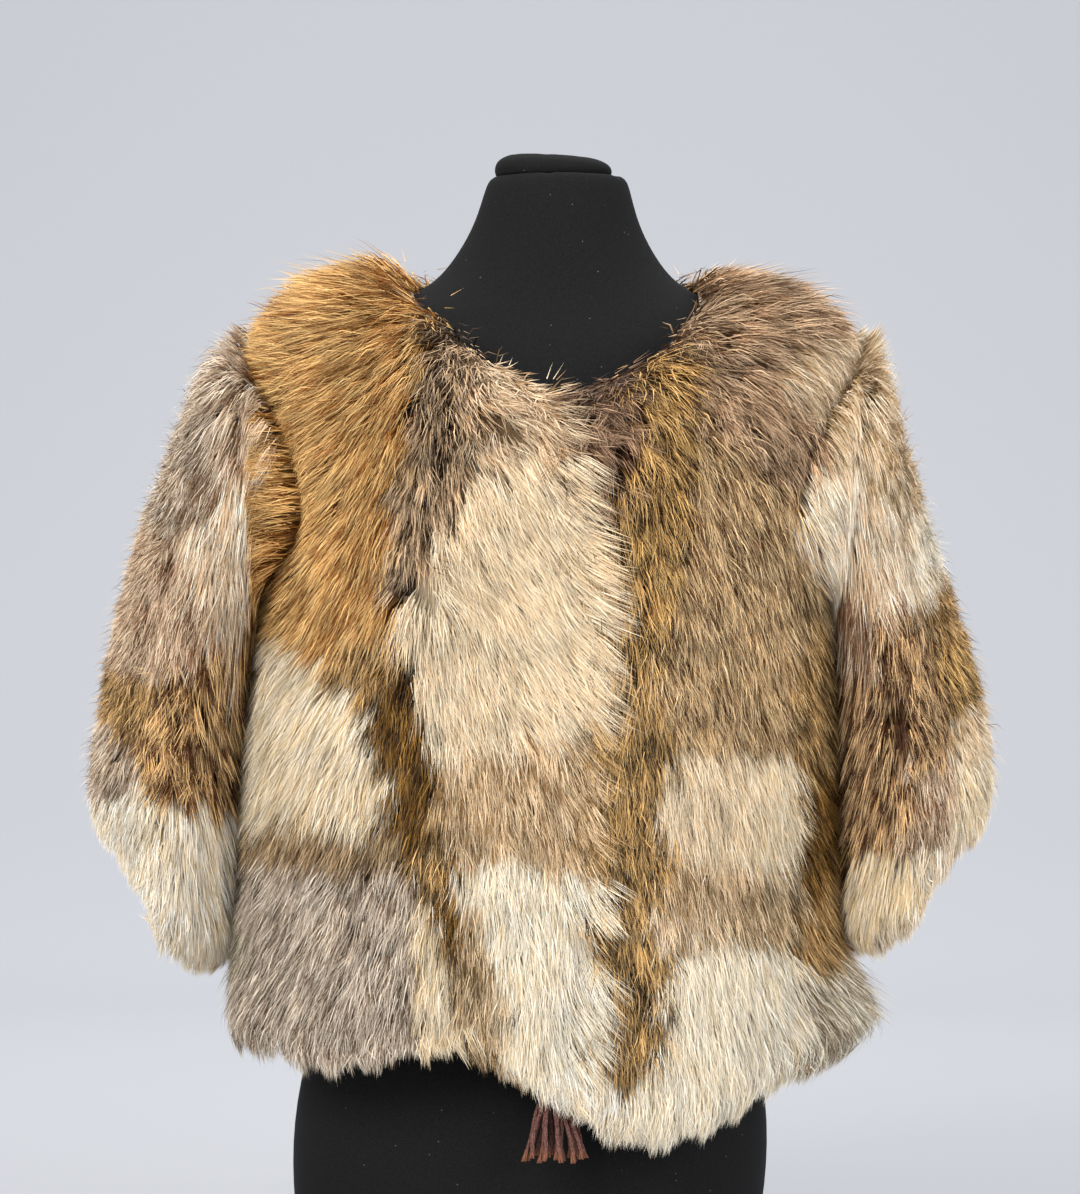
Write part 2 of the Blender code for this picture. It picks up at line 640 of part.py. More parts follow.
def tassel(material):
    """A bound head with a fan of yarn strands fused into its foot, hung inside the right front's hem."""
    hem_angle = math.atan2(TASSEL_SIDEWAYS, BODY_ROWS[0].front)
    head_top = TASSEL_TIP_HEIGHT + TASSEL_HEIGHT + TASSEL_HEAD_HEIGHT
    nearest = min(
        (abs(body_skin(hem_angle, along)[2] - head_top), along) for along in np.linspace(0, 0.2, 201)
    )
    wall = body_skin(hem_angle, nearest[1])
    middle = wall + np.array([0, TASSEL_HEAD_RADIUS - TASSEL_SEAT, 0])
    foot = head_top - TASSEL_HEAD_HEIGHT

    head_rows = [(0.0, 0.55), (0.14, 0.86), (0.42, 1.0), (0.72, 0.93), (1.0, 0.6)]
    around = 2 * np.pi * np.arange(12) / 12
    rings = []
    for share, wide in head_rows:
        ring = ring_points(around, np.full(12, TASSEL_HEAD_RADIUS * wide), foot + share * TASSEL_HEAD_HEIGHT)
        rings.append(ring + np.array([middle[0], middle[1], 0]))
    head = stacked_object("tassel", np.array(rings), material)

    rows_out = [0.34, 0.72, 1.0]
    strand = 0
    for ring, reach in enumerate(rows_out):
        count = [4, 9, TASSEL_STRANDS - 13][ring]
        for turn in range(count):
            angle = 2 * math.pi * (turn + 0.5 * ring) / count
            length = TASSEL_HEIGHT * (1 + 0.05 * math.sin(strand * 2.4))
            across = reach * math.sin(angle)
            forward = -reach * math.cos(angle)
            path = []
            for share in (-0.10, 0.15, 0.6, 1.0):
                out = eased(max(share, 0) ** 0.8) * 0.55 + 0.45 * max(share, 0)
                path.append(
                    [
                        middle[0] + across * (0.0036 + (TASSEL_HALF_WIDTH - 0.0036) * out),
                        middle[1] + forward * (0.0036 + (TASSEL_HALF_DEPTH - 0.0036) * out),
                        foot - length * share,
                    ]
                )
            points, faces = yarn(path, TASSEL_YARN)
            piece = add_object("strand", leaned(points), faces, material)
            piece.hide_render = True
            piece.display_type = "WIRE"
            join = head.modifiers.new("root", "BOOLEAN")
            join.operation = "UNION"
            join.solver = "EXACT"
            join.object = piece
            strand += 1
    return head


def colour(name, red_green_blue, roughness):
    """A plain material with the part's colour and roughness."""
    material = bpy.data.materials.new(name)
    material.use_nodes = True
    shader = material.node_tree.nodes["Principled BSDF"]
    shader.inputs["Base Color"].default_value = (*red_green_blue, 1)
    shader.inputs["Roughness"].default_value = roughness
    shader.inputs["Metallic"].default_value = 0
    material.diffuse_color = (*red_green_blue, 1)
    return material


def centre_over_origin():
    """Sets the whole over its origin: the middle of its box sideways and in depth."""
    shown = [o for o in bpy.data.objects if not o.hide_render]
    corners = np.array([tuple(v.co) for o in shown for v in o.data.vertices])
    middle = (corners.min(axis=0) + corners.max(axis=0)) / 2
    for each in bpy.data.objects:
        each.location = (-middle[0], -middle[1], 0)


def main():
    for each in list(bpy.data.objects):
        bpy.data.objects.remove(each)
    fox = colour("fox_red_and_cream", (0.50, 0.33, 0.16), 0.75)
    coyote = colour("coyote_brown_and_cream", (0.42, 0.31, 0.18), 0.75)
    grey = colour("grey_brown_fur", (0.36, 0.29, 0.23), 0.75)
    jersey = colour("black_jersey", (0.02, 0.02, 0.022), 0.8)
    wool = colour("brown_wool", (0.18, 0.07, 0.05), 0.85)

    dress_form(jersey)
    neck_cap(jersey)
    wall_object("right_front", *front_panel(-1), fox, closed_round=False)
    wall_object("left_front", *front_panel(1), coyote, closed_round=False)
    wall_object("back", *back_panel(), coyote, closed_round=False)
    for sleeve in SLEEVES:
        wall_object(sleeve.name, *sleeve_wall(sleeve), grey, closed_round=True)
    tassel(wool)
    centre_over_origin()


main()
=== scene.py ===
# %% [markdown]
# # A patchwork fur bolero on a black dress form
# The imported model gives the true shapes: five walls of fur, a tassel, and the dress form with its neck
# cap. This scene keeps their places and gives them their looks. The walls become real fur, strand by
# strand, on a thin pelt. The form gets its knitted jersey and the tassel its yarn.

import math
from collections import namedtuple

import bmesh
import bpy
import numpy as np
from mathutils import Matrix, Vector, noise
from mathutils.bvhtree import BVHTree
from mathutils.kdtree import KDTree


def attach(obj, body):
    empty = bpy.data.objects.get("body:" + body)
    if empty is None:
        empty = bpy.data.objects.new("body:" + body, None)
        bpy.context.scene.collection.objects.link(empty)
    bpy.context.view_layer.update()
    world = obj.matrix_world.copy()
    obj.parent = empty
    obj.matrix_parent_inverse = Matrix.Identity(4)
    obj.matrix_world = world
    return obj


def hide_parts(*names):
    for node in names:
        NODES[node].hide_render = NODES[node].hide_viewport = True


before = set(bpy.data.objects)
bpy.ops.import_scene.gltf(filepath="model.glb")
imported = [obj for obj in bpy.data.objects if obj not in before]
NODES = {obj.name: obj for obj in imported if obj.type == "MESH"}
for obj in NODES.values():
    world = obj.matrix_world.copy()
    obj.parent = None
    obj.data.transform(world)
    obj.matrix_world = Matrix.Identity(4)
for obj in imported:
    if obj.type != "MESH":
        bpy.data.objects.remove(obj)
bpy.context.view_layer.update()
print("nodes:", ", ".join(sorted(NODES)))

# %% [markdown]
# The photograph was taken level with the waist from about three metres, so the camera has a long lens
# and no tilt. The view shows the form down to its hips. The sensor's height is set, because the
# photograph is upright.

# %% Camera
CAMERA_DISTANCE = 3.0
CAMERA_HEIGHT = 0.517
CAMERA_SIDEWAYS = -0.001
VIEW_HEIGHT = 0.8716

lens = bpy.data.cameras.new("studio_camera")
lens.sensor_fit = "VERTICAL"
lens.sensor_height = 36
lens.lens = 36 * CAMERA_DISTANCE / VIEW_HEIGHT
camera = bpy.data.objects.new("studio_camera", lens)
bpy.context.scene.collection.objects.link(camera)
camera.location = (CAMERA_SIDEWAYS, -CAMERA_DISTANCE, CAMERA_HEIGHT)
camera.rotation_euler = (math.radians(90), 0, 0)
bpy.context.scene.camera = camera
bpy.context.scene.view_settings.view_transform = "Standard"
print("lens", round(lens.lens, 1), "mm")

# %% [markdown]
# The studio has a pale paper sweep: a floor that curves up into a wall, so no line shows where they
# meet. It is made from one plane. Its back edge is extruded up, and the fold is bevelled round.

# %% Paper sweep
SWEEP_SIZE = (9, 8, 1)
SWEEP_PLACE = (0, 0.2, -0.0006)
WALL_HEIGHT = 5
FOLD_SIZE = 2.0
FOLD_STEPS = 24

bpy.ops.object.select_all(action="DESELECT")
bpy.ops.mesh.primitive_plane_add(size=1, location=(0, 0, 0))
sweep = bpy.context.object
sweep.name = "paper_sweep"
sweep.scale = SWEEP_SIZE
sweep.location = SWEEP_PLACE
bpy.ops.object.transform_apply(location=True, rotation=True, scale=True)
bpy.ops.object.mode_set(mode="EDIT")
bpy.ops.mesh.select_mode(type="EDGE")
bpy.ops.mesh.select_all(action="DESELECT")
shape = bmesh.from_edit_mesh(sweep.data)
for edge in shape.edges:
    edge.select_set(all(v.co.y > 4 for v in edge.verts))
bmesh.update_edit_mesh(sweep.data)
bpy.ops.mesh.extrude_region_move(TRANSFORM_OT_translate={"value": (0, 0, WALL_HEIGHT)})
bpy.ops.mesh.select_all(action="DESELECT")
shape = bmesh.from_edit_mesh(sweep.data)
for edge in shape.edges:
    if all(v.co.y > 4 and v.co.z < 1 for v in edge.verts):
        edge.select_set(True)
bmesh.update_edit_mesh(sweep.data)
bpy.ops.mesh.bevel(offset=FOLD_SIZE, segments=FOLD_STEPS, affect="EDGES")
bpy.ops.mesh.select_mode(type="VERT")
bpy.ops.object.mode_set(mode="OBJECT")
bpy.ops.object.shade_smooth()
print("sweep", [round(v, 2) for v in sweep.dimensions], len(sweep.data.polygons), "faces")

# %% [markdown]
# A material is a small network of nodes. One helper starts it, one adds a node and sets its values, and
# one makes the mottled tone that suede, jersey and wool share.

# %% Node helper
def new_material(name):
    material = bpy.data.materials.new(name)
    material.use_nodes = True
    tree = material.node_tree
    return material, tree, tree.nodes["Principled BSDF"]


def add_node(tree, kind, **values):
    """A node of this kind. A value is set on the socket of that name, or on the node itself."""
    node = tree.nodes.new(kind)
    for name, value in values.items():
        label = name.replace("_", " ")
        sockets = {s.name.lower(): s for s in node.inputs if s.enabled}
        if label.lower() in sockets:
            sockets[label.lower()].default_value = value
        else:
            setattr(node, name, value)
    return node


def mottled(tree, scale, detail, *tones):
    """A noise that goes from one tone to the other, each given with its position on the way."""
    place = add_node(tree, "ShaderNodeTexCoord")
    grain = add_node(tree, "ShaderNodeTexNoise", Scale=scale, Detail=detail)
    tree.links.new(place.outputs["Object"], grain.inputs["Vector"])
    ramp = add_node(tree, "ShaderNodeValToRGB")
    for element, (position, colour) in zip(ramp.color_ramp.elements, tones):
        element.position = position
        element.color = (*colour, 1)
    tree.links.new(grain.outputs["Fac"], ramp.inputs[0])
    return place, grain, ramp


def paint(obj, material):
    obj.data.materials.clear()
    obj.data.materials.append(material)


# %% [markdown]
# The paper is one cool pale grey. Its curve catches less light than the floor and the wall do, so it is
# made a little lighter there, by the way along the paper, which is the depth and the height together.
# Its back is clear, so that the form can also be looked at from behind the paper.

# %% Paper material and light
PAPER_START = 0.5
PAPER_END = 6.0

paper, tree, shader = new_material("pale_paper")
place = add_node(tree, "ShaderNodeTexCoord")
height = add_node(tree, "ShaderNodeSeparateXYZ")
tree.links.new(place.outputs["Object"], height.inputs[0])
along = add_node(tree, "ShaderNodeMath", operation="ADD")
tree.links.new(height.outputs["Y"], along.inputs[0])
tree.links.new(height.outputs["Z"], along.inputs[1])
share = add_node(tree, "ShaderNodeMapRange")
share.inputs["From Min"].default_value = PAPER_START
share.inputs["From Max"].default_value = PAPER_END
tree.links.new(along.outputs[0], share.inputs["Value"])
PaperStop = namedtuple("PaperStop", "metres lightness")
PAPER_TINT = (0.98, 0.99, 1.02)
PAPER_STOPS = [
    PaperStop(PAPER_START, 0.475),
    PaperStop(2.5, 0.515),
    PaperStop(3.4, 0.485),
    PaperStop(PAPER_END, 0.470),
]
ramp = add_node(tree, "ShaderNodeValToRGB")
ramp.color_ramp.interpolation = "EASE"
for _ in range(len(PAPER_STOPS) - 2):
    ramp.color_ramp.elements.new(0.5)
for element, stop in zip(ramp.color_ramp.elements, PAPER_STOPS):
    element.position = (stop.metres - PAPER_START) / (PAPER_END - PAPER_START)
    element.color = (*(stop.lightness * part for part in PAPER_TINT), 1)
tree.links.new(share.outputs[0], ramp.inputs[0])
tree.links.new(ramp.outputs["Color"], shader.inputs["Base Color"])
shader.inputs["Roughness"].default_value = 0.9
shader.inputs["Specular IOR Level"].default_value = 0.1
clear = add_node(tree, "ShaderNodeBsdfTransparent")
seen_side = add_node(tree, "ShaderNodeNewGeometry")
either = add_node(tree, "ShaderNodeMixShader")
tree.links.new(seen_side.outputs["Backfacing"], either.inputs[0])
tree.links.new(shader.outputs[0], either.inputs[1])
tree.links.new(clear.outputs[0], either.inputs[2])
tree.links.new(either.outputs[0], tree.nodes["Material Output"].inputs["Surface"])
paint(sweep, paper)


def soft_box(name, place, target, size, watts, colour=(1, 1, 1)):
    """A rectangular studio light that faces its target."""
    light = bpy.data.lights.new(name, "AREA")
    light.shape = "RECTANGLE"
    light.size, light.size_y = size
    light.energy = watts
    light.color = colour
    lamp = bpy.data.objects.new(name, light)
    bpy.context.scene.collection.objects.link(lamp)
    lamp.location = place
    lamp.rotation_euler = (Vector(target) - Vector(place)).to_track_quat("-Z", "Y").to_euler()
    return lamp


CHEST = (0, 0, 0.5)
soft_box("key_light", (-1.3, -2.4, 1.9), CHEST, (1.4, 1.4), 66, (1.0, 0.985, 0.955))
soft_box("fill_light", (1.9, -2.2, 1.2), CHEST, (1.6, 1.6), 38, (0.98, 0.985, 1.0))
soft_box("top_light", (0, 0.3, 2.6), CHEST, (1.6, 1.2), 20)
soft_box("back_wall_light", (0, 1.0, 3.0), (0, 3.6, 0.9), (3.0, 1.0), 55)
world = bpy.data.worlds.new("studio_air")
bpy.context.scene.world = world
world.use_nodes = True
world.node_tree.nodes["Background"].inputs["Color"].default_value = (0.90, 0.93, 1.0, 1)
world.node_tree.nodes["Background"].inputs["Strength"].default_value = 0.85

# %% [markdown]
# The dress form leans a little sideways and the bolero leans with it. The readings below are taken
# upright, so one helper takes the lean out and another puts it back.

# %% Lean
HIP_HEIGHT = 0.120
LEAN = 0.0287
FOOT_FORWARD = 0.001


def mesh_arrays(obj):
    """An object's points and triangles."""
    mesh = obj.data
    mesh.calc_loop_triangles()
    points = np.empty(len(mesh.vertices) * 3, np.float32)
    mesh.vertices.foreach_get("co", points)
    faces = np.empty(len(mesh.loop_triangles) * 3, np.int32)
    mesh.loop_triangles.foreach_get("vertices", faces)
    return points.reshape(-1, 3).astype(float), faces.reshape(-1, 3)


form_points, _ = mesh_arrays(NODES["dress_form"])
foot = form_points[form_points[:, 2] < 0.001]
FOOT_SIDEWAYS = (foot[:, 0].max() + foot[:, 0].min()) / 2 + LEAN * HIP_HEIGHT
FOOT_DEPTH = (foot[:, 1].max() + foot[:, 1].min()) / 2 - FOOT_FORWARD


def upright(points):
    """Points with the form's lean and place taken out."""
    moved = np.array(points, float)
    moved[..., 0] -= LEAN * (moved[..., 2] - HIP_HEIGHT) + FOOT_SIDEWAYS
    moved[..., 1] -= FOOT_DEPTH
    return moved


def leaned(points):
    """Points with the form's lean and place put back."""
    moved = np.array(points, float)
    moved[..., 0] += LEAN * (moved[..., 2] - HIP_HEIGHT) + FOOT_SIDEWAYS
    moved[..., 1] += FOOT_DEPTH
    return moved


print("form's foot stands", round(FOOT_SIDEWAYS * 1000, 1), "mm from the middle")

# %% [markdown]
# Fur grows from the skin side of a wall to its hair side, so both sides are read as grids. Rays leave
# the middle of the body or of a sleeve. The first face that one meets is the skin, and the first that
# one meets on the way back from outside is the tips of the hair. Where a ray finds no wall, as in an
# armhole, the grid is filled in from its neighbours, so that hair can flow across.

# %% Read the walls
Wall = namedtuple("Wall", "skin hair owner nodes")
RAY_REACH = 0.45
THINNEST_WALL = 0.003


def blurred(grid, times):
    for _ in range(times):
        grid = (np.roll(grid, 1, 1) + 2 * grid + np.roll(grid, -1, 1)) / 4
        padded = np.concatenate([grid[:1], grid, grid[-1:]])
        grid = (padded[:-2] + 2 * grid + padded[2:]) / 4
    return grid


def filled(grid):
    """The grid with its gaps filled from their neighbours, ring by ring."""
    grid = grid.copy()
    while np.isnan(grid).any():
        padded = np.pad(grid, ((1, 1), (0, 0)), constant_values=np.nan)
        near = np.stack([padded[:-2], padded[2:], np.roll(grid, 1, 1), np.roll(grid, -1, 1)])
        known = ~np.isnan(near)
        total = np.where(known, near, 0).sum(0)
        count = known.sum(0)
        mean = np.where(count > 0, total / np.maximum(count, 1), np.nan)
        grid = np.where(np.isnan(grid), mean, grid)
    return grid


def read_wall(names, origins, directions, smoothing):
    """A Wall of the named nodes from rays with these origins and directions, rows by columns."""
    points, faces, owners = [], [], []
    for index, name in enumerate(names):
        own_points, own_faces = mesh_arrays(NODES[name])
        faces.append(own_faces + sum(len(p) for p in points))
        points.append(upright(own_points))
        owners.append(np.full(len(own_faces), index))
    owners = np.concatenate(owners)
    tree = BVHTree.FromPolygons(
        [Vector(p) for p in np.concatenate(points)], np.concatenate(faces).tolist()
    )
    rows, columns = origins.shape[:2]
    inner = np.full((rows, columns), np.nan)
    outer = np.full((rows, columns), np.nan)
    owner = np.full((rows, columns), -1)
    for r in range(rows):
        for c in range(columns):
            start, way = Vector(origins[r, c]), Vector(directions[r, c])
            first = tree.ray_cast(start, way, RAY_REACH)
            last = tree.ray_cast(start + way * RAY_REACH, -way, RAY_REACH)
            if first[0] is None or last[0] is None:
                continue
            if RAY_REACH - last[3] - first[3] < THINNEST_WALL:
                continue
            inner[r, c] = first[3]
            outer[r, c] = RAY_REACH - last[3]
            owner[r, c] = owners[last[2]]
    inner = blurred(filled(inner), smoothing)
    outer = blurred(filled(outer), smoothing)
    skin = origins + directions * inner[..., None]
    hair = origins + directions * outer[..., None]
    return Wall(skin, hair, owner, names)


BODY_COLUMNS = 240
BODY_LEVEL_ROWS = 92
BODY_TURN_ROWS = 40
TURN_HEIGHT = 0.60
STEEPEST = math.radians(68)


def body_rays():
    """Level rays up to the chest, then rays that tilt up over the shoulders."""
    level = np.linspace(0.10, TURN_HEIGHT, BODY_LEVEL_ROWS)
    heights = np.concatenate([level, np.full(BODY_TURN_ROWS, TURN_HEIGHT)])
    turned = STEEPEST * np.arange(1, BODY_TURN_ROWS + 1) / BODY_TURN_ROWS
    tilts = np.concatenate([np.zeros(BODY_LEVEL_ROWS), turned])
    angles = 2 * np.pi * np.arange(BODY_COLUMNS) / BODY_COLUMNS - np.pi
    tilt, angle = np.meshgrid(tilts, angles, indexing="ij")
    origins = np.zeros(tilt.shape + (3,))
    origins[..., 2] = heights[:, None]
    directions = np.stack(
        [np.sin(angle) * np.cos(tilt), -np.cos(angle) * np.cos(tilt), np.sin(tilt)], -1
    )
    return origins, directions


SleeveRing = namedtuple("SleeveRing", "along x z tilt")
SLEEVE_RINGS = [
    SleeveRing(-0.125, 0.1580, 0.617, 0),
    SleeveRing(-0.06, 0.1850, 0.617, 1),
    SleeveRing(0.00, 0.2130, 0.6125, 4),
    SleeveRing(0.12, 0.2228, 0.5955, 8),
    SleeveRing(0.30, 0.2365, 0.550, 16),
    SleeveRing(0.50, 0.2534, 0.481, 28),
    SleeveRing(0.70, 0.2680, 0.4075, 42),
    SleeveRing(0.87, 0.2755, 0.3475, 50),
    SleeveRing(1.00, 0.2768, 0.3025, 53),
    SleeveRing(1.10, 0.2770, 0.268, 54),
]
SLEEVE_ROWS = 84
SLEEVE_COLUMNS = 120


def sleeve_rays(side):
    """Rays from a sleeve's middle line, round from the underarm by way of the front."""
    along = np.linspace(SLEEVE_RINGS[0].along, SLEEVE_RINGS[-1].along, SLEEVE_ROWS)
    known = [ring.along for ring in SLEEVE_RINGS]
    x = np.interp(along, known, [ring.x for ring in SLEEVE_RINGS])
    z = np.interp(along, known, [ring.z for ring in SLEEVE_RINGS])
    tilt = np.radians(np.interp(along, known, [ring.tilt for ring in SLEEVE_RINGS]))
    turn = 2 * np.pi * np.arange(SLEEVE_COLUMNS) / SLEEVE_COLUMNS
    tilt, turn = np.meshgrid(tilt, turn, indexing="ij")
    origins = np.zeros(tilt.shape + (3,))
    origins[..., 0] = x[:, None] * side
    origins[..., 2] = z[:, None]
    directions = np.stack(
        [-np.cos(turn) * np.sin(tilt) * side, -np.sin(turn), -np.cos(turn) * np.cos(tilt)], -1
    )
    return origins, directions


BODY = read_wall(["right_front", "left_front", "back"], *body_rays(), smoothing=3)
RIGHT_SLEEVE = read_wall(["right_sleeve"], *sleeve_rays(-1), smoothing=3)
LEFT_SLEEVE = read_wall(["left_sleeve"], *sleeve_rays(1), smoothing=3)
for wall in (BODY, RIGHT_SLEEVE, LEFT_SLEEVE):
    pile = np.linalg.norm(wall.hair - wall.skin, axis=-1)[wall.owner >= 0]
    print(wall.nodes, wall.skin.shape[:2], "pile mm", (pile.mean() * 1000).round(1))

# %% [markdown]
# Each fur has its own coat. A coat is three colours, from the shadow between the hairs to the light on
# them, and the tint of the tips. Guard hair is banded, so its tips differ from the rest: they are pale on
# most coats and a little darker on a few.

# %% Coats
Coat = namedtuple("Coat", "name shade middle light tip tip_share length clump mottle stray")
COATS = [
    Coat("fox", "#76430c", "#bf883e", "#f3c175", "#f9dea0", 0.50, 0.040, 0.60, 1.0, 6),
    Coat("fox_dark", "#311e0d", "#7b5a37", "#cba676", "#f9debb", 0.60, 0.036, 0.65, 1.5, 14),
    Coat("beige", "#947550", "#debb90", "#f9e1bb", "#f9edd5", 0.45, 0.036, 0.60, 1.0, 18),
    Coat("cream", "#d6be98", "#f5e1c1", "#f9edd2", "#d1ab76", 0.12, 0.046, 0.55, 1.0, 8),
    Coat("cream_gold", "#e4ca9c", "#f8ecd2", "#faf3e2", "#d3ab6a", 0.20, 0.044, 0.55, 1.0, 8),
    Coat("deep_gold", "#301c08", "#6f4c1d", "#a9803f", "#8a6430", 0.45, 0.034, 0.70, 1.4, 8),
    Coat("gold", "#4a300a", "#8b6632", "#cb9e63", "#f9d69a", 0.50, 0.036, 0.65, 1.3, 10),
    Coat("taupe_gold", "#7c5c33", "#c4a478", "#f9daae", "#f9e5c3", 0.45, 0.040, 0.55, 1.0, 8),
    Coat("white", "#f6e2be", "#f9f3df", "#fbf5e8", "#f6e0b4", 0.15, 0.046, 0.50, 1.0, 8),
    Coat("silver", "#69553f", "#ad957c", "#efd7be", "#f9f6e6", 0.50, 0.040, 0.50, 1.1, 11),
    Coat("silver_dark", "#5c4428", "#957a58", "#bda27c", "#cdb48e", 0.25, 0.038, 0.50, 1.0, 8),
    Coat("brown_gold", "#654c29", "#a4855c", "#e2c59a", "#f9e3be", 0.50, 0.036, 0.60, 1.2, 8),
    Coat("mauve", "#4a3020", "#84644c", "#b18f70", "#c9ab8c", 0.20, 0.030, 0.55, 1.0, 30),
    Coat("ochre", "#2e1602", "#7b5022", "#c89452", "#f5d088", 0.75, 0.036, 0.75, 1.7, 12),
    Coat("ochre_pale", "#33200a", "#7f5c2c", "#bd9352", "#e2bc80", 0.70, 0.038, 0.70, 1.5, 12),
    Coat("brown", "#4e3219", "#977451", "#d2aa83", "#f9deb8", 0.50, 0.032, 0.55, 1.0, 20),
    Coat("taupe", "#59391b", "#a88252", "#e8be84", "#f9e1b3", 0.65, 0.038, 0.60, 1.2, 10),
    Coat("tan", "#9c8058", "#e5c599", "#f9e6c4", "#f9f3e3", 0.40, 0.036, 0.55, 1.0, 8),
    Coat("pale", "#b89d7c", "#f9e8c8", "#f9f4e3", "#f9f8ef", 0.35, 0.042, 0.50, 1.0, 9),
    Coat("dark", "#4b2b10", "#b27d48", "#f9c686", "#f9ddab", 0.65, 0.036, 0.75, 1.6, 14),
    Coat("ash", "#71553c", "#b29471", "#e9d5bc", "#f9f2e0", 0.50, 0.036, 0.55, 1.0, 10),
    Coat("rose", "#714e33", "#bf9a73", "#f9d9b1", "#f9ecd2", 0.60, 0.036, 0.60, 1.0, 12),
    Coat("clumpy_gold", "#522f13", "#ad7b46", "#f9c378", "#f9dba2", 0.65, 0.034, 0.80, 1.6, 24),
    Coat("off_white", "#d5c19d", "#f9ecd4", "#f9f6eb", "#f9f7ef", 0.30, 0.040, 0.55, 1.0, 8),
    Coat("grey_white", "#725e43", "#d5c3a4", "#f9edd2", "#f9f5e6", 0.50, 0.040, 0.60, 1.5, 8),
]
COAT_INDEX = {coat.name: i for i, coat in enumerate(COATS)}


def coat_numbers(name):
    """One of the numbers of every coat, in their order."""
    return np.array([getattr(coat, name) for coat in COATS])


def linear(code):
    """A colour code as linear red, green and blue."""
    shares = np.array([int(code[i : i + 2], 16) for i in (1, 3, 5)]) / 255
    return np.where(shares <= 0.04045, shares / 12.92, ((shares + 0.055) / 1.055) ** 2.4)


COAT_COLOURS = np.array(
    [[linear(getattr(coat, name)) for name in ("shade", "middle", "light", "tip")] for coat in COATS]
)
print(len(COATS), "coats")

# %% [markdown]
# The furrier sewed the bolero from many small pelts. Each patch below has its middle and half sizes in
# millimetres, seen from the front or from the back: sideways from the middle and up from the floor. Its
# hair falls straight down, or leans towards one side by some degrees. A strand belongs to the patch whose
# middle is nearest for its size, so the patches join along soft borders.

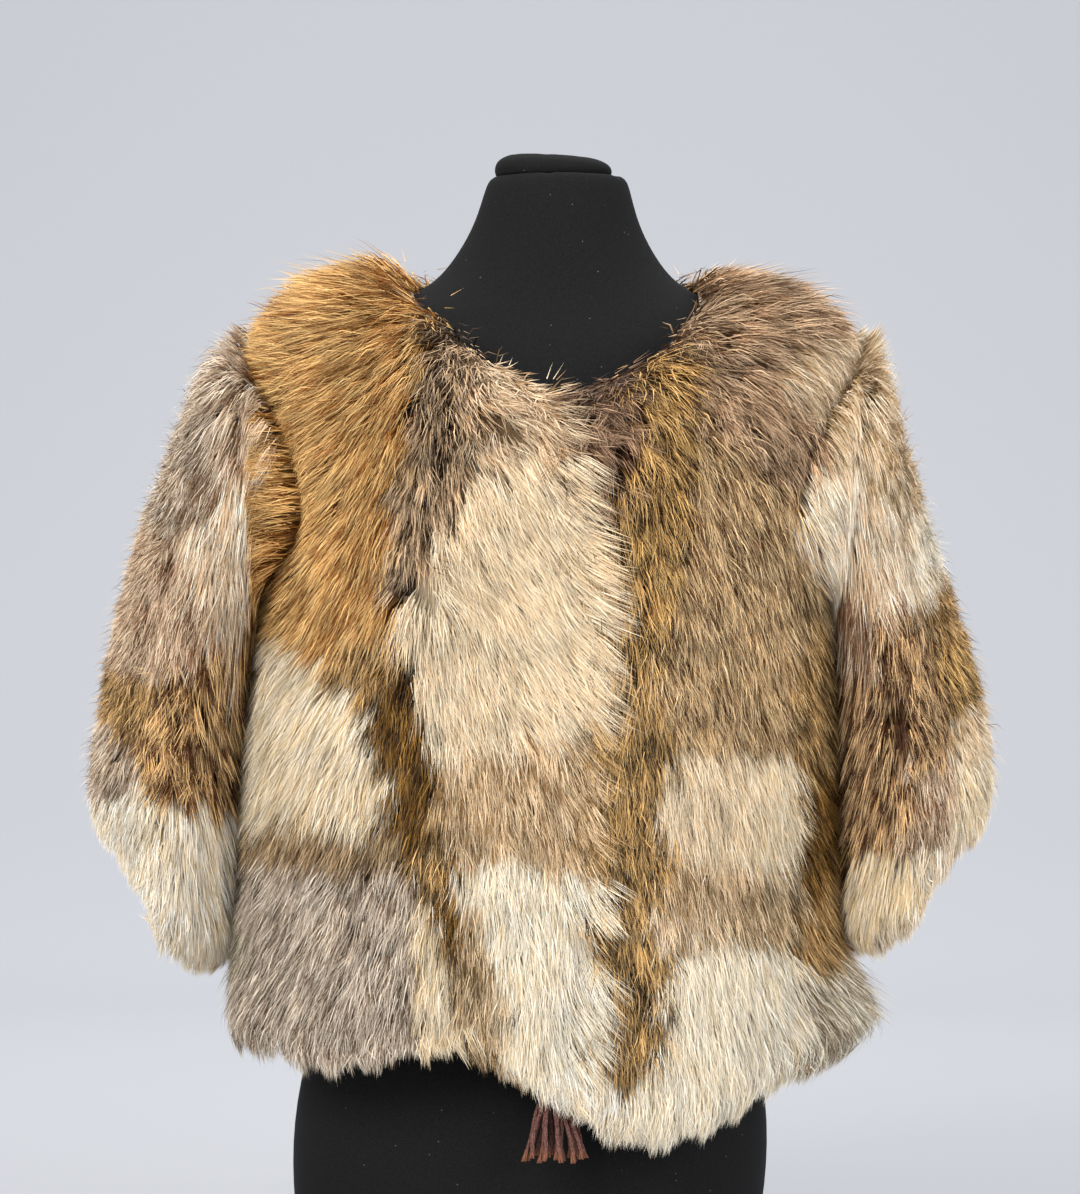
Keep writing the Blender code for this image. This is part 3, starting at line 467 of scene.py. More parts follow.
# %% Patches
Patch = namedtuple("Patch", "across up half_across half_up coat lean")
FRONT_OF_BODY = [
    Patch(-142, 752, 36, 26, "fox", -30),
    Patch(-106, 745, 26, 26, "fox", 15),
    Patch(-190, 719, 33, 33, "fox", -66),
    Patch(-146, 697, 33, 36, "fox", -22),
    Patch(-110, 705, 22, 29, "fox", 5),
    Patch(-193, 646, 26, 40, "fox", -80),
    Patch(-161, 646, 26, 40, "fox", -54),
    Patch(-130, 632, 23, 44, "fox", -5),
    Patch(-193, 573, 26, 36, "fox", -80),
    Patch(-162, 573, 26, 36, "fox", -56),
    Patch(-133, 559, 25, 36, "fox", -5),
    Patch(-150, 508, 36, 29, "fox", -12),
    Patch(-190, 508, 26, 26, "fox", -68),
    Patch(-128, 475, 22, 26, "gold", 5),
    Patch(-84, 701, 22, 33, "fox_dark", 25),
    Patch(-80, 646, 22, 33, "fox_dark", 25),
    Patch(-96, 588, 19, 33, "fox_dark", 15),
    Patch(-106, 544, 16, 26, "fox_dark", 10),
    Patch(-44, 667, 33, 22, "beige", 45),
    Patch(-4, 646, 16, 29, "beige", 30),
    Patch(-47, 632, 26, 18, "beige", 35),
    Patch(-18, 588, 36, 33, "cream", 30),
    Patch(-66, 559, 26, 33, "cream", 30),
    Patch(-15, 515, 44, 36, "cream", 36),
    Patch(-73, 486, 29, 40, "cream", 20),
    Patch(-7, 449, 36, 26, "cream", 34),
    Patch(-58, 435, 29, 22, "cream", 18),
    Patch(-186, 456, 26, 29, "cream_gold", -30),
    Patch(-161, 420, 33, 29, "cream_gold", -12),
    Patch(-190, 391, 29, 33, "cream_gold", -15),
    Patch(-139, 376, 29, 22, "cream_gold", 0),
    Patch(-113, 427, 15, 36, "deep_gold", 8),
    Patch(-99, 376, 15, 33, "deep_gold", 8),
    Patch(-84, 325, 12, 33, "gold", 8),
    Patch(-73, 281, 10, 29, "deep_gold", 6),
    Patch(-29, 383, 47, 26, "taupe_gold", 14),
    Patch(-58, 354, 22, 18, "taupe_gold", 10),
    Patch(4, 340, 22, 22, "taupe_gold", 12),
    Patch(-15, 296, 40, 33, "white", 8),
    Patch(0, 237, 33, 36, "white", 5),
    Patch(-15, 194, 26, 22, "white", 6),
    Patch(-153, 340, 47, 20, "silver_dark", -5),
    Patch(-175, 296, 40, 36, "silver", -8),
    Patch(-124, 274, 26, 44, "silver", 2),
    Patch(-182, 237, 44, 33, "silver", -8),
    Patch(-139, 201, 44, 26, "silver", 0),
    Patch(-88, 259, 12, 44, "cream_gold", 6),
    Patch(-80, 201, 15, 26, "cream_gold", 5),
    Patch(-55, 259, 13, 44, "brown_gold", 7),
    Patch(-36, 201, 15, 33, "brown_gold", 7),
    Patch(26, 668, 23, 22, "mauve", -5),
    Patch(44, 639, 26, 22, "mauve", 5),
    Patch(29, 595, 22, 33, "mauve", 3),
    Patch(36, 544, 18, 33, "taupe", 3),
    Patch(96, 668, 19, 33, "ochre", 8),
    Patch(96, 610, 20, 33, "ochre", 5),
    Patch(84, 559, 25, 33, "ochre", 3),
    Patch(73, 508, 28, 36, "ochre", 0),
    Patch(53, 456, 25, 36, "ochre_pale", -2),
    Patch(58, 398, 26, 36, "ochre_pale", 0),
    Patch(62, 332, 28, 36, "ochre_pale", 2),
    Patch(58, 267, 28, 36, "ochre_pale", 0),
    Patch(64, 201, 26, 36, "ochre_pale", 0),
    Patch(44, 157, 22, 18, "off_white", -5),
    Patch(139, 727, 36, 29, "brown", 5),
    Patch(190, 727, 33, 29, "brown", 20),
    Patch(212, 675, 26, 33, "tan", 20),
    Patch(146, 668, 33, 33, "brown", 8),
    Patch(182, 632, 29, 29, "brown", 8),
    Patch(131, 602, 26, 29, "taupe", 5),
    Patch(168, 566, 29, 36, "taupe", 3),
    Patch(124, 529, 26, 36, "taupe", 3),
    Patch(161, 486, 29, 36, "taupe", 0),
    Patch(110, 471, 26, 33, "taupe", 0),
    Patch(146, 427, 36, 18, "taupe", 0),
    Patch(135, 376, 36, 31, "cream", 0),
    Patch(172, 369, 18, 36, "cream_gold", 2),
    Patch(117, 310, 36, 18, "taupe_gold", 2),
    Patch(161, 296, 26, 22, "brown_gold", 2),
    Patch(102, 281, 22, 18, "tan", 2),
    Patch(142, 237, 36, 26, "white", 0),
    Patch(139, 186, 44, 36, "white", 3),
    Patch(102, 157, 29, 26, "white", 0),
    Patch(182, 194, 15, 36, "off_white", 8),
    Patch(193, 442, 10, 51, "gold", 0),
    Patch(196, 347, 10, 44, "deep_gold", 0),
    Patch(208, 274, 12, 33, "gold", 4),
    Patch(226, 223, 26, 33, "grey_white", 15),
    Patch(241, 274, 22, 22, "tan", 10),
    Patch(204, 179, 22, 18, "grey_white", 10),
    Patch(-234, 267, 22, 29, "grey_white", 0),
]
FRONT_OF_SLEEVES = [
    Patch(-197, 708, 19, 22, "fox", -55),
    Patch(-193, 654, 19, 33, "fox", -75),
    Patch(-196, 595, 18, 33, "fox", -78),
    Patch(-197, 537, 16, 33, "fox", -72),
    Patch(-203, 486, 13, 22, "fox", -50),
    Patch(188, 610, 18, 29, "taupe", 6),
    Patch(188, 544, 16, 36, "taupe", 4),
    Patch(190, 486, 13, 29, "taupe", 0),
    Patch(201, 661, 22, 26, "brown", 18),
    Patch(204, 705, 26, 22, "brown", 25),
    Patch(-237, 697, 26, 26, "ash", -25),
    Patch(-219, 646, 15, 29, "rose", -5),
    Patch(-248, 646, 22, 22, "ash", -18),
    Patch(-266, 602, 26, 26, "ash", -15),
    Patch(-225, 584, 13, 29, "pale", 0),
    Patch(-245, 559, 16, 22, "pale", -5),
    Patch(-281, 537, 26, 29, "rose", -18),
    Patch(-230, 515, 16, 33, "pale", 0),
    Patch(-256, 493, 22, 26, "rose", -8),
    Patch(-296, 486, 20, 26, "rose", -18),
    Patch(-303, 442, 20, 26, "gold", -20),
    Patch(-241, 449, 26, 29, "clumpy_gold", -8),
    Patch(-274, 420, 23, 29, "clumpy_gold", -14),
    Patch(-245, 391, 28, 29, "clumpy_gold", -5),
    Patch(-318, 398, 18, 29, "ash", -20),
    Patch(-307, 362, 18, 18, "off_white", -15),
    Patch(-259, 332, 31, 28, "off_white", -8),
    Patch(-234, 296, 22, 26, "off_white", 0),
    Patch(-274, 303, 22, 22, "off_white", -12),
    Patch(-223, 398, 10, 29, "gold", 0),
    Patch(241, 712, 26, 26, "tan", 25),
    Patch(248, 661, 26, 26, "tan", 18),
    Patch(263, 617, 18, 22, "tan", 15),
    Patch(226, 588, 26, 26, "pale", 8),
    Patch(248, 544, 26, 28, "pale", 12),
    Patch(281, 544, 16, 22, "off_white", 18),
    Patch(216, 544, 12, 33, "pale", 0),
    Patch(230, 486, 26, 26, "rose", 6),
    Patch(263, 486, 22, 26, "dark", 8),
    Patch(234, 435, 31, 29, "dark", 4),
    Patch(274, 427, 22, 29, "dark", 10),
    Patch(241, 376, 36, 33, "dark", 2),
    Patch(281, 369, 18, 29, "rose", 10),
    Patch(299, 508, 15, 26, "gold", 20),
    Patch(307, 464, 16, 26, "ochre", 20),
    Patch(315, 420, 15, 22, "tan", 20),
    Patch(318, 376, 16, 29, "cream_gold", 15),
    Patch(296, 318, 22, 26, "pale", 12),
    Patch(248, 303, 36, 23, "cream_gold", 3),
    Patch(212, 310, 16, 29, "gold", 0),
    Patch(274, 281, 26, 18, "pale", 6),
]
BACK_OF_BODY = [
    Patch(-140, 690, 60, 60, "fox", -20),
    Patch(-100, 560, 45, 90, "fox", -8),
    Patch(-60, 700, 40, 50, "fox_dark", 8),
    Patch(-30, 600, 40, 60, "cream", 5),
    Patch(0, 700, 45, 40, "beige", 0),
    Patch(60, 690, 50, 50, "brown", 8),
    Patch(130, 690, 50, 50, "taupe", 20),
    Patch(60, 580, 45, 60, "ochre", 5),
    Patch(130, 560, 45, 80, "taupe", 8),
    Patch(0, 500, 45, 60, "mauve", 0),
    Patch(-130, 430, 50, 60, "cream_gold", -5),
    Patch(-60, 460, 40, 50, "gold", 0),
    Patch(70, 450, 50, 50, "cream", 3),
    Patch(140, 420, 45, 60, "tan", 8),
    Patch(-20, 390, 40, 50, "silver", 0),
    Patch(-100, 340, 50, 50, "silver_dark", -3),
    Patch(60, 350, 45, 50, "white", 2),
    Patch(-180, 480, 25, 90, "gold", -8),
    Patch(180, 480, 25, 90, "gold", 8),
    Patch(-160, 330, 45, 60, "silver", -8),
    Patch(-30, 300, 45, 50, "brown_gold", 0),
    Patch(130, 320, 45, 50, "grey_white", 6),
    Patch(40, 260, 45, 40, "ochre_pale", 2),
    Patch(-100, 250, 50, 40, "cream_gold", -3),
    Patch(180, 300, 40, 70, "off_white", 10),
    Patch(-190, 260, 40, 50, "grey_white", -10),
    Patch(110, 230, 45, 40, "white", 4),
    Patch(-20, 220, 45, 35, "silver", 0),
    Patch(200, 220, 35, 40, "grey_white", 10),
]
BACK_OF_SLEEVES = [
    Patch(220, 660, 35, 40, "ash", 20),
    Patch(235, 580, 40, 50, "rose", 15),
    Patch(245, 500, 45, 50, "pale", 12),
    Patch(280, 460, 40, 50, "gold", 18),
    Patch(290, 390, 45, 40, "clumpy_gold", 14),
    Patch(300, 330, 50, 40, "off_white", 12),
    Patch(-220, 660, 35, 40, "tan", -20),
    Patch(-235, 580, 40, 50, "pale", -15),
    Patch(-245, 500, 45, 50, "dark", -12),
    Patch(-280, 460, 40, 50, "ochre", -18),
    Patch(-290, 390, 45, 40, "dark", -12),
    Patch(-300, 330, 50, 40, "cream_gold", -12),
]
print(len(FRONT_OF_BODY) + len(FRONT_OF_SLEEVES), "patches in front")
print(len(BACK_OF_BODY) + len(BACK_OF_SLEEVES), "patches behind")

# %% [markdown]
# A patch is looked up as a person sees it, so a point is first moved along the sight line onto an upright
# board through the middle of the form. The coat is that of the nearest patch. The lean is a soft mean of
# all the patches near by, so the hair flows on evenly from one to the next.

# %% Find a point's patch
FLOW_SOFTNESS = 1.6


def seen_from_front(points):
    share = CAMERA_DISTANCE / (CAMERA_DISTANCE + points[:, 1])
    across = CAMERA_SIDEWAYS + (points[:, 0] - CAMERA_SIDEWAYS) * share
    up = CAMERA_HEIGHT + (points[:, 2] - CAMERA_HEIGHT) * share
    return across * 1000, up * 1000


def seen_from_back(points):
    share = CAMERA_DISTANCE / (CAMERA_DISTANCE - points[:, 1])
    up = CAMERA_HEIGHT + (points[:, 2] - CAMERA_HEIGHT) * share
    return points[:, 0] * share * 1000, up * 1000


def nearest_patches(patches, across, up):
    """The coat number and the lean in degrees at every point."""
    middles = np.array([[p.across, p.up] for p in patches], float)
    sizes = np.array([[p.half_across, p.half_up] for p in patches], float)
    coats = np.array([COAT_INDEX[p.coat] for p in patches])
    leans = np.array([p.lean for p in patches], float)
    away = (
        ((across[:, None] - middles[:, 0]) / sizes[:, 0]) ** 2
        + ((up[:, None] - middles[:, 1]) / sizes[:, 1]) ** 2
    )
    weight = np.exp(-FLOW_SOFTNESS * (away - away.min(1, keepdims=True)))
    return coats[away.argmin(1)], (weight * leans).sum(1) / weight.sum(1)


def find_patches(points, front, back, dice):
    """Each point's coat and lean. Near the sides the border between front and back is uneven."""
    coat, lean = nearest_patches(front, *seen_from_front(points))
    back_coat, back_lean = nearest_patches(back, *seen_from_back(points))
    behind = points[:, 1] > 0.02 + 0.012 * dice.standard_normal(len(points))
    return np.where(behind, back_coat, coat), np.where(behind, back_lean, lean)


# %% [markdown]
# The hair grows in locks. Each lock has one coat, one lean and one brightness, and its hairs bend towards
# its middle. A hair starts on the skin, rises, and lies over near the surface that its wall had in the
# imported model. It is a thin blade that ends in a point. Long guard hair covers a shorter, duller underfur.
# Each hair is painted darker towards its root and at the margin of its lock: painted shade under and
# between the locks.

# %% Grow the fur
LOCK_PITCH = 0.0068
LOCK_EDGE = 0.38
CLOUDS_PER_METRE = 38
CLOUD_SHINE = 0.34
LOCK_SHINE_SPREAD = 0.16
LOCK_TONE_SPREAD = 0.17
LOCK_HEIGHT_SPREAD = 0.055
PARTING_SHADE = 0.22
PARTING_DROP = 0.06
SEEN_BELOW_ROOT = 0.020
UNDERARM_THINNING = 0.40
NECK_REACH = 0.020
NECK_LEAN_SPREAD = 38
NECK_SHORTER = 0.30
HAIR_LEAN_SPREAD = 6
HAIR_LENGTHS = (0.8, 1.15)
HAIR_PULLS = (0.6, 1.1)
BEND_SPREAD = 0.10
ROLL_SPREAD = 38
HALF_WIDTH_MM = (0.38, 0.64)
LOOSE_SHARE = 0.05
LOOSE_HEIGHTS = (1.1, 1.45)
LOOSE_HALF_WIDTH = 0.00026
DARK_TONE = (0.06, 0.08)
TONE_SPREAD = 0.20
TONE_LIFT = 0.13
SHINE_SPREAD = 0.13
SEAM_STEPS = 3
SEAM_ROWS = 2
SELF_SHADE = 1.22
LIGHTEST = 0.93
ROOT_ABOVE_HEM = 0.022
GUARD_LEVELS = (0.06, 0.36, 0.70, 1.0)
UNDER_LEVELS = (0.10, 0.62, 1.0)
FINE_LEVELS = (0.52, 1.0)
HairKind = namedtuple("HairKind", "levels tall scatter_tall width tone taper")
HAIR_KINDS = [
    HairKind(GUARD_LEVELS, 0.99, 0.07, 0.82, 0.55, (1.0, 1.0, 0.85, 0.0)),
    HairKind(UNDER_LEVELS, 0.88, 0.12, 0.95, 0.36, (1.0, 0.9, 0.0)),
    HairKind(FINE_LEVELS, 1.02, 0.07, 0.62, 0.60, (1.0, 0.0)),
]
DARK_SHARE = 0.24
EDGE_SHADE = 1.5
SEAM_CELLS = 6
SEAM_LIFT = 0.24
TONES = 10
SHINES = 4
PALETTE_SIDE = 32
Palette = namedtuple("Palette", "coat tone shine")


def sample(grid, row, column):
    """A grid's value between its points. Columns go round, rows stop at the ends."""
    rows, columns = grid.shape[:2]
    row = np.clip(row, 0, rows - 1.001)
    low_row = row.astype(int)
    across = np.floor(column).astype(int)
    part = column - across
    low, high = across % columns, (across + 1) % columns
    down = row - low_row
    if grid.ndim == 3:
        part, down = part[:, None], down[:, None]
    top = grid[low_row, low] * (1 - part) + grid[low_row, high] * part
    bottom = grid[low_row + 1, low] * (1 - part) + grid[low_row + 1, high] * part
    return top * (1 - down) + bottom * down


def normalized(vectors):
    return vectors / np.maximum(np.linalg.norm(vectors, axis=-1, keepdims=True), 1e-9)


ARM_GAP_HEIGHT = 0.46
ARM_GAP_REACH = 0.17
ARM_GAP_FILL = 0.40


class Field:
    """A wall as even grids, with the first row at the top."""

    def __init__(self, wall, top_last, sleeve):
        turn = slice(None, None, -1) if top_last else slice(None)
        self.skin = wall.skin[turn]
        self.hair = wall.hair[turn]
        self.owner = wall.owner[turn]
        surface = 0.35 * self.skin + 0.65 * self.hair
        self.per_row = np.gradient(surface, axis=0)
        wide = np.concatenate([surface[:, -1:], surface, surface[:, :1]], 1)
        self.per_column = (wide[:, 2:] - wide[:, :-2]) / 2
        self.area = np.linalg.norm(np.cross(self.per_row, self.per_column), axis=-1)
        self.outward = normalized(self.hair - self.skin)
        self.row_length = np.linalg.norm(self.per_row, axis=-1)
        self.column_length = np.linalg.norm(self.per_column, axis=-1)
        rows = np.arange(self.owner.shape[0])[:, None]
        facing_in = -self.outward[..., 0] * np.sign(self.skin[..., 0])
        self.outward_share = np.clip(facing_in, 0, 1)
        # Hair stands out further where the arm hangs close to the body, and fills the gap between them.
        by_arm = np.clip(1 - np.abs(self.skin[..., 2] - ARM_GAP_HEIGHT) / ARM_GAP_REACH, 0, 1)
        flank = facing_in if sleeve else -facing_in
        self.towards_gap = ARM_GAP_FILL * np.clip(flank * 1.6 - 0.6, 0, 1) * by_arm**0.5
        hit = self.owner >= 0
        self.first_row = np.where(hit, rows, 10**6).min(0)
        self.last_row = np.where(hit, rows, -1).max(0)
        inside = (rows > self.first_row) & (rows < self.last_row)
        # It also stands up along the seams between body and sleeves, so that none shows as a line.
        opening = rows < self.first_row if sleeve else inside & ~hit
        self.by_seam = opening.astype(float)
        for _ in range(SEAM_CELLS):
            padded = np.pad(self.by_seam, ((1, 1), (0, 0)))
            shifted = [np.roll(self.by_seam, 1, 1), np.roll(self.by_seam, -1, 1), padded[2:], padded[:-2]]
            self.by_seam = np.maximum(self.by_seam, np.max(shifted, 0) - 1 / SEAM_CELLS)
        self.near_owner = self.owner.copy()
        # A cell that no ray hit belongs to the piece beside it, so the hair runs on across the seams.
        for _ in range(SEAM_STEPS):
            for shifted in (np.roll(self.near_owner, 1, 1), np.roll(self.near_owner, -1, 1)):
                empty = (self.near_owner < 0) & inside
                self.near_owner = np.where(empty, shifted, self.near_owner)
            for move in (1, -1):
                shifted = np.roll(self.near_owner, move, 0)
                empty = (self.near_owner < 0) & inside
                self.near_owner = np.where(empty, shifted, self.near_owner)

    def step(self, row, column, down, sideways):
        """Rows and columns that make a move of so many metres down and sideways."""
        by_row = sample(self.per_row, row, column)
        by_column = sample(self.per_column, row, column)
        facing = sample(self.outward, row, column)
        fall = facing * facing[:, 2:]
        fall[:, 2] -= 1
        down_way = normalized(0.45 * normalized(by_row) + fall)
        down_way = normalized(down_way - facing * (facing * down_way).sum(1, keepdims=True))
        side_way = np.cross(down_way, facing)
        side_way *= np.sign((side_way * by_column).sum(1, keepdims=True))
        move = down_way * down[:, None] + side_way * sideways[:, None]
        rr = (by_row * by_row).sum(1)
        cc = (by_column * by_column).sum(1)
        rc = (by_row * by_column).sum(1)
        mr = (move * by_row).sum(1)
        mc = (move * by_column).sum(1)
        determinant = np.maximum(rr * cc - rc * rc, 1e-12)
        return (mr * cc - mc * rc) / determinant, (mc * rr - mr * rc) / determinant


def scatter(weight, count, dice):
    """Even but irregular places on a grid, more of them where the weight is greater."""
    order = np.cumsum(weight.ravel())
    places = (np.arange(count) + dice.random(count)) / count * order[-1]
    cell = np.searchsorted(order, places)
    row, column = np.divmod(np.minimum(cell, weight.size - 1), weight.shape[1])
    return row + dice.random(count) - 0.5, column + dice.random(count) - 0.5


def nearest_step(share, steps):
    """The number, from 0, of the step that a share from 0 to 1 comes nearest to."""
    return np.round(share * (steps - 1)).astype(int)


def palette_colours(palette, levels):
    """Linear colours of hairs at levels from the root, 0, to the tip, 1."""
    coats = COAT_COLOURS[palette.coat]
    tone = (palette.tone / (TONES - 1))[:, None]
    shade, middle, light, tip = (coats[:, i] for i in range(4))
    body = np.where(
        tone < 0.5, shade + (middle - shade) * tone * 2, middle + (light - middle) * (tone * 2 - 1)
    )
    bright = (0.62 + 0.70 * palette.shine / (SHINES - 1))[:, None]
    share = coat_numbers("tip_share")[palette.coat][:, None]
    colours = []
    for level in levels:
        # Each hair is painted darker towards its root: painted shade deep in the pile.
        root = 0.42 + 0.58 * min(1, level / 0.65)
        point = share * np.minimum(1, tone * 1.7) * min(1, max(0, (level - 0.40) / 0.45))
        colour = (body * (1 - point) + tip * point) * bright * root * SELF_SHADE
        brightest = colour.max(1, keepdims=True)
        colours.append(colour * np.minimum(1, LIGHTEST / np.maximum(brightest, 1e-6)))
    return np.stack(colours, 1)


print("lock pitch", LOCK_PITCH * 1000, "mm")

# %% [markdown]
# A parting is a small place where the hair falls away to all sides and the shadow shows between; its locks
# are also painted darker there, a painted shade. The right front, on the viewer's left, laps over the
# other, so its edge hair leans across, and the hair beside it lies lower and is painted darker, a painted
# shadow under the lapping edge.
#
# One function grows the hair of one node. It scatters the locks, then the hairs, gives every hair the
# coat and flow of its lock, and bends it. Each hair has a square of its own shade in the bake map, a UV
# map named OFBake.

# %% One piece of fur
Hairs = namedtuple("Hairs", "points levels palette")
Parting = namedtuple("Parting", "across up reach")
PARTING_TURN = 0.24
PARTINGS = [
    Parting(148, 695, 26),
    Parting(-93, 509, 30),
    Parting(-40, 632, 24),
    Parting(60, 610, 24),
    Parting(-210, 455, 26),
    Parting(262, 420, 28),
]
OVER_FRONT = 0
LAP_REACH = 0.022
LAP_LEAN = 26
LAP_SHADE = 0.30


def around_partings(points, lean):
    """Leans that fall away from the partings, and how near each point is to the middle of one, 0 to 1."""
    across, up = seen_from_front(points)
    nearness = np.zeros(len(points))
    for parting in PARTINGS:
        right, above = across - parting.across, up - parting.up
        away = np.hypot(right, above)
        near = np.clip(1 - away / parting.reach, 0, 1) * (points[:, 1] < 0)
        outward = np.degrees(np.arctan2(right, -above))
        turn = (outward - lean + 180) % 360 - 180
        lean = lean + turn * 4 * near * (1 - near) * PARTING_TURN
        nearness = np.maximum(nearness, near)
    return lean, nearness


MEETING_HEIGHTS = [0.150, 0.205, 0.309, 0.405, 0.446, 0.545, 0.603, 0.670]
MEETING_PLACES = [0.008, 0.024, 0.032, 0.025, 0.027, 0.013, 0.002, -0.006]


def meeting_sideways(height):
    """How far from the middle the two fronts meet, at each height."""
    return np.interp(height, MEETING_HEIGHTS, MEETING_PLACES)


def tree_of(points):
    """A search tree that finds the nearest of these points."""
    tree = KDTree(len(points))
    for number, point in enumerate(points):
        tree.insert(point, number)
    tree.balance()
    return tree


def lock_weights(field, index):
    weight = np.where(field.near_owner == index, field.area, 0)
    rows = np.arange(field.owner.shape[0])[:, None]
    margin = ROOT_ABOVE_HEM / np.maximum(field.row_length, 1e-4)
    weight[rows > field.last_row[None, :] - margin] = 0
    return weight


def seam_overlap(field, weight, rows_above):
    """Roots also start a little above a sleeve's seam, so that the hair covers the seam."""
    for column in range(weight.shape[1]):
        first = field.first_row[column]
        low = max(first - rows_above, 0)
        weight[low:first, column] = field.area[low:first, column]
    return weight


def blade_points(path, outward, roll, half, taper):
    """The two sides of flat, tapering blades along their paths, and their tips."""
    way = np.empty_like(path)
    way[:, 1:-1] = path[:, 2:] - path[:, :-2]
    way[:, 0] = path[:, 1] - path[:, 0]
    way[:, -1] = path[:, -1] - path[:, -2]
    way = normalized(way)
    flat = normalized(np.cross(way, outward[:, None]))
    lift = normalized(np.cross(flat, way))
    roll = roll[:, None, None]
    flat = flat * np.cos(roll) + lift * np.sin(roll)
    half = half[:, None, None] * np.array(taper)[None, :, None]
    left, right = path - flat * half, path + flat * half
    sides = np.stack([left[:, :-1], right[:, :-1]], 2).reshape(len(path), -1, 3)
    return np.concatenate([sides, path[:, -1:]], 1)


def hair_paths(field, places, moves, to_lock, pull, bend, share, levels):
    """Where each hair runs, from the skin up and over, in rows and columns pulled to its lock's middle."""
    (row, column), (rows_down, columns_over) = places, moves
    rings = []
    for level in levels:
        gather = pull * level**1.4
        drift = 4 * level * (1 - level) * bend
        at_row = row + rows_down * level + to_lock[0] * gather - columns_over * drift * 0.2
        at_column = column + columns_over * level + to_lock[1] * gather + rows_down * drift * 0.25
        skin = sample(field.skin, at_row, at_column)
        hair = sample(field.hair, at_row, at_column)
        height = (1 - (1 - level) ** 1.8) * share
        rings.append(skin + (hair - skin) * height[:, None])
    return np.stack(rings, 1)


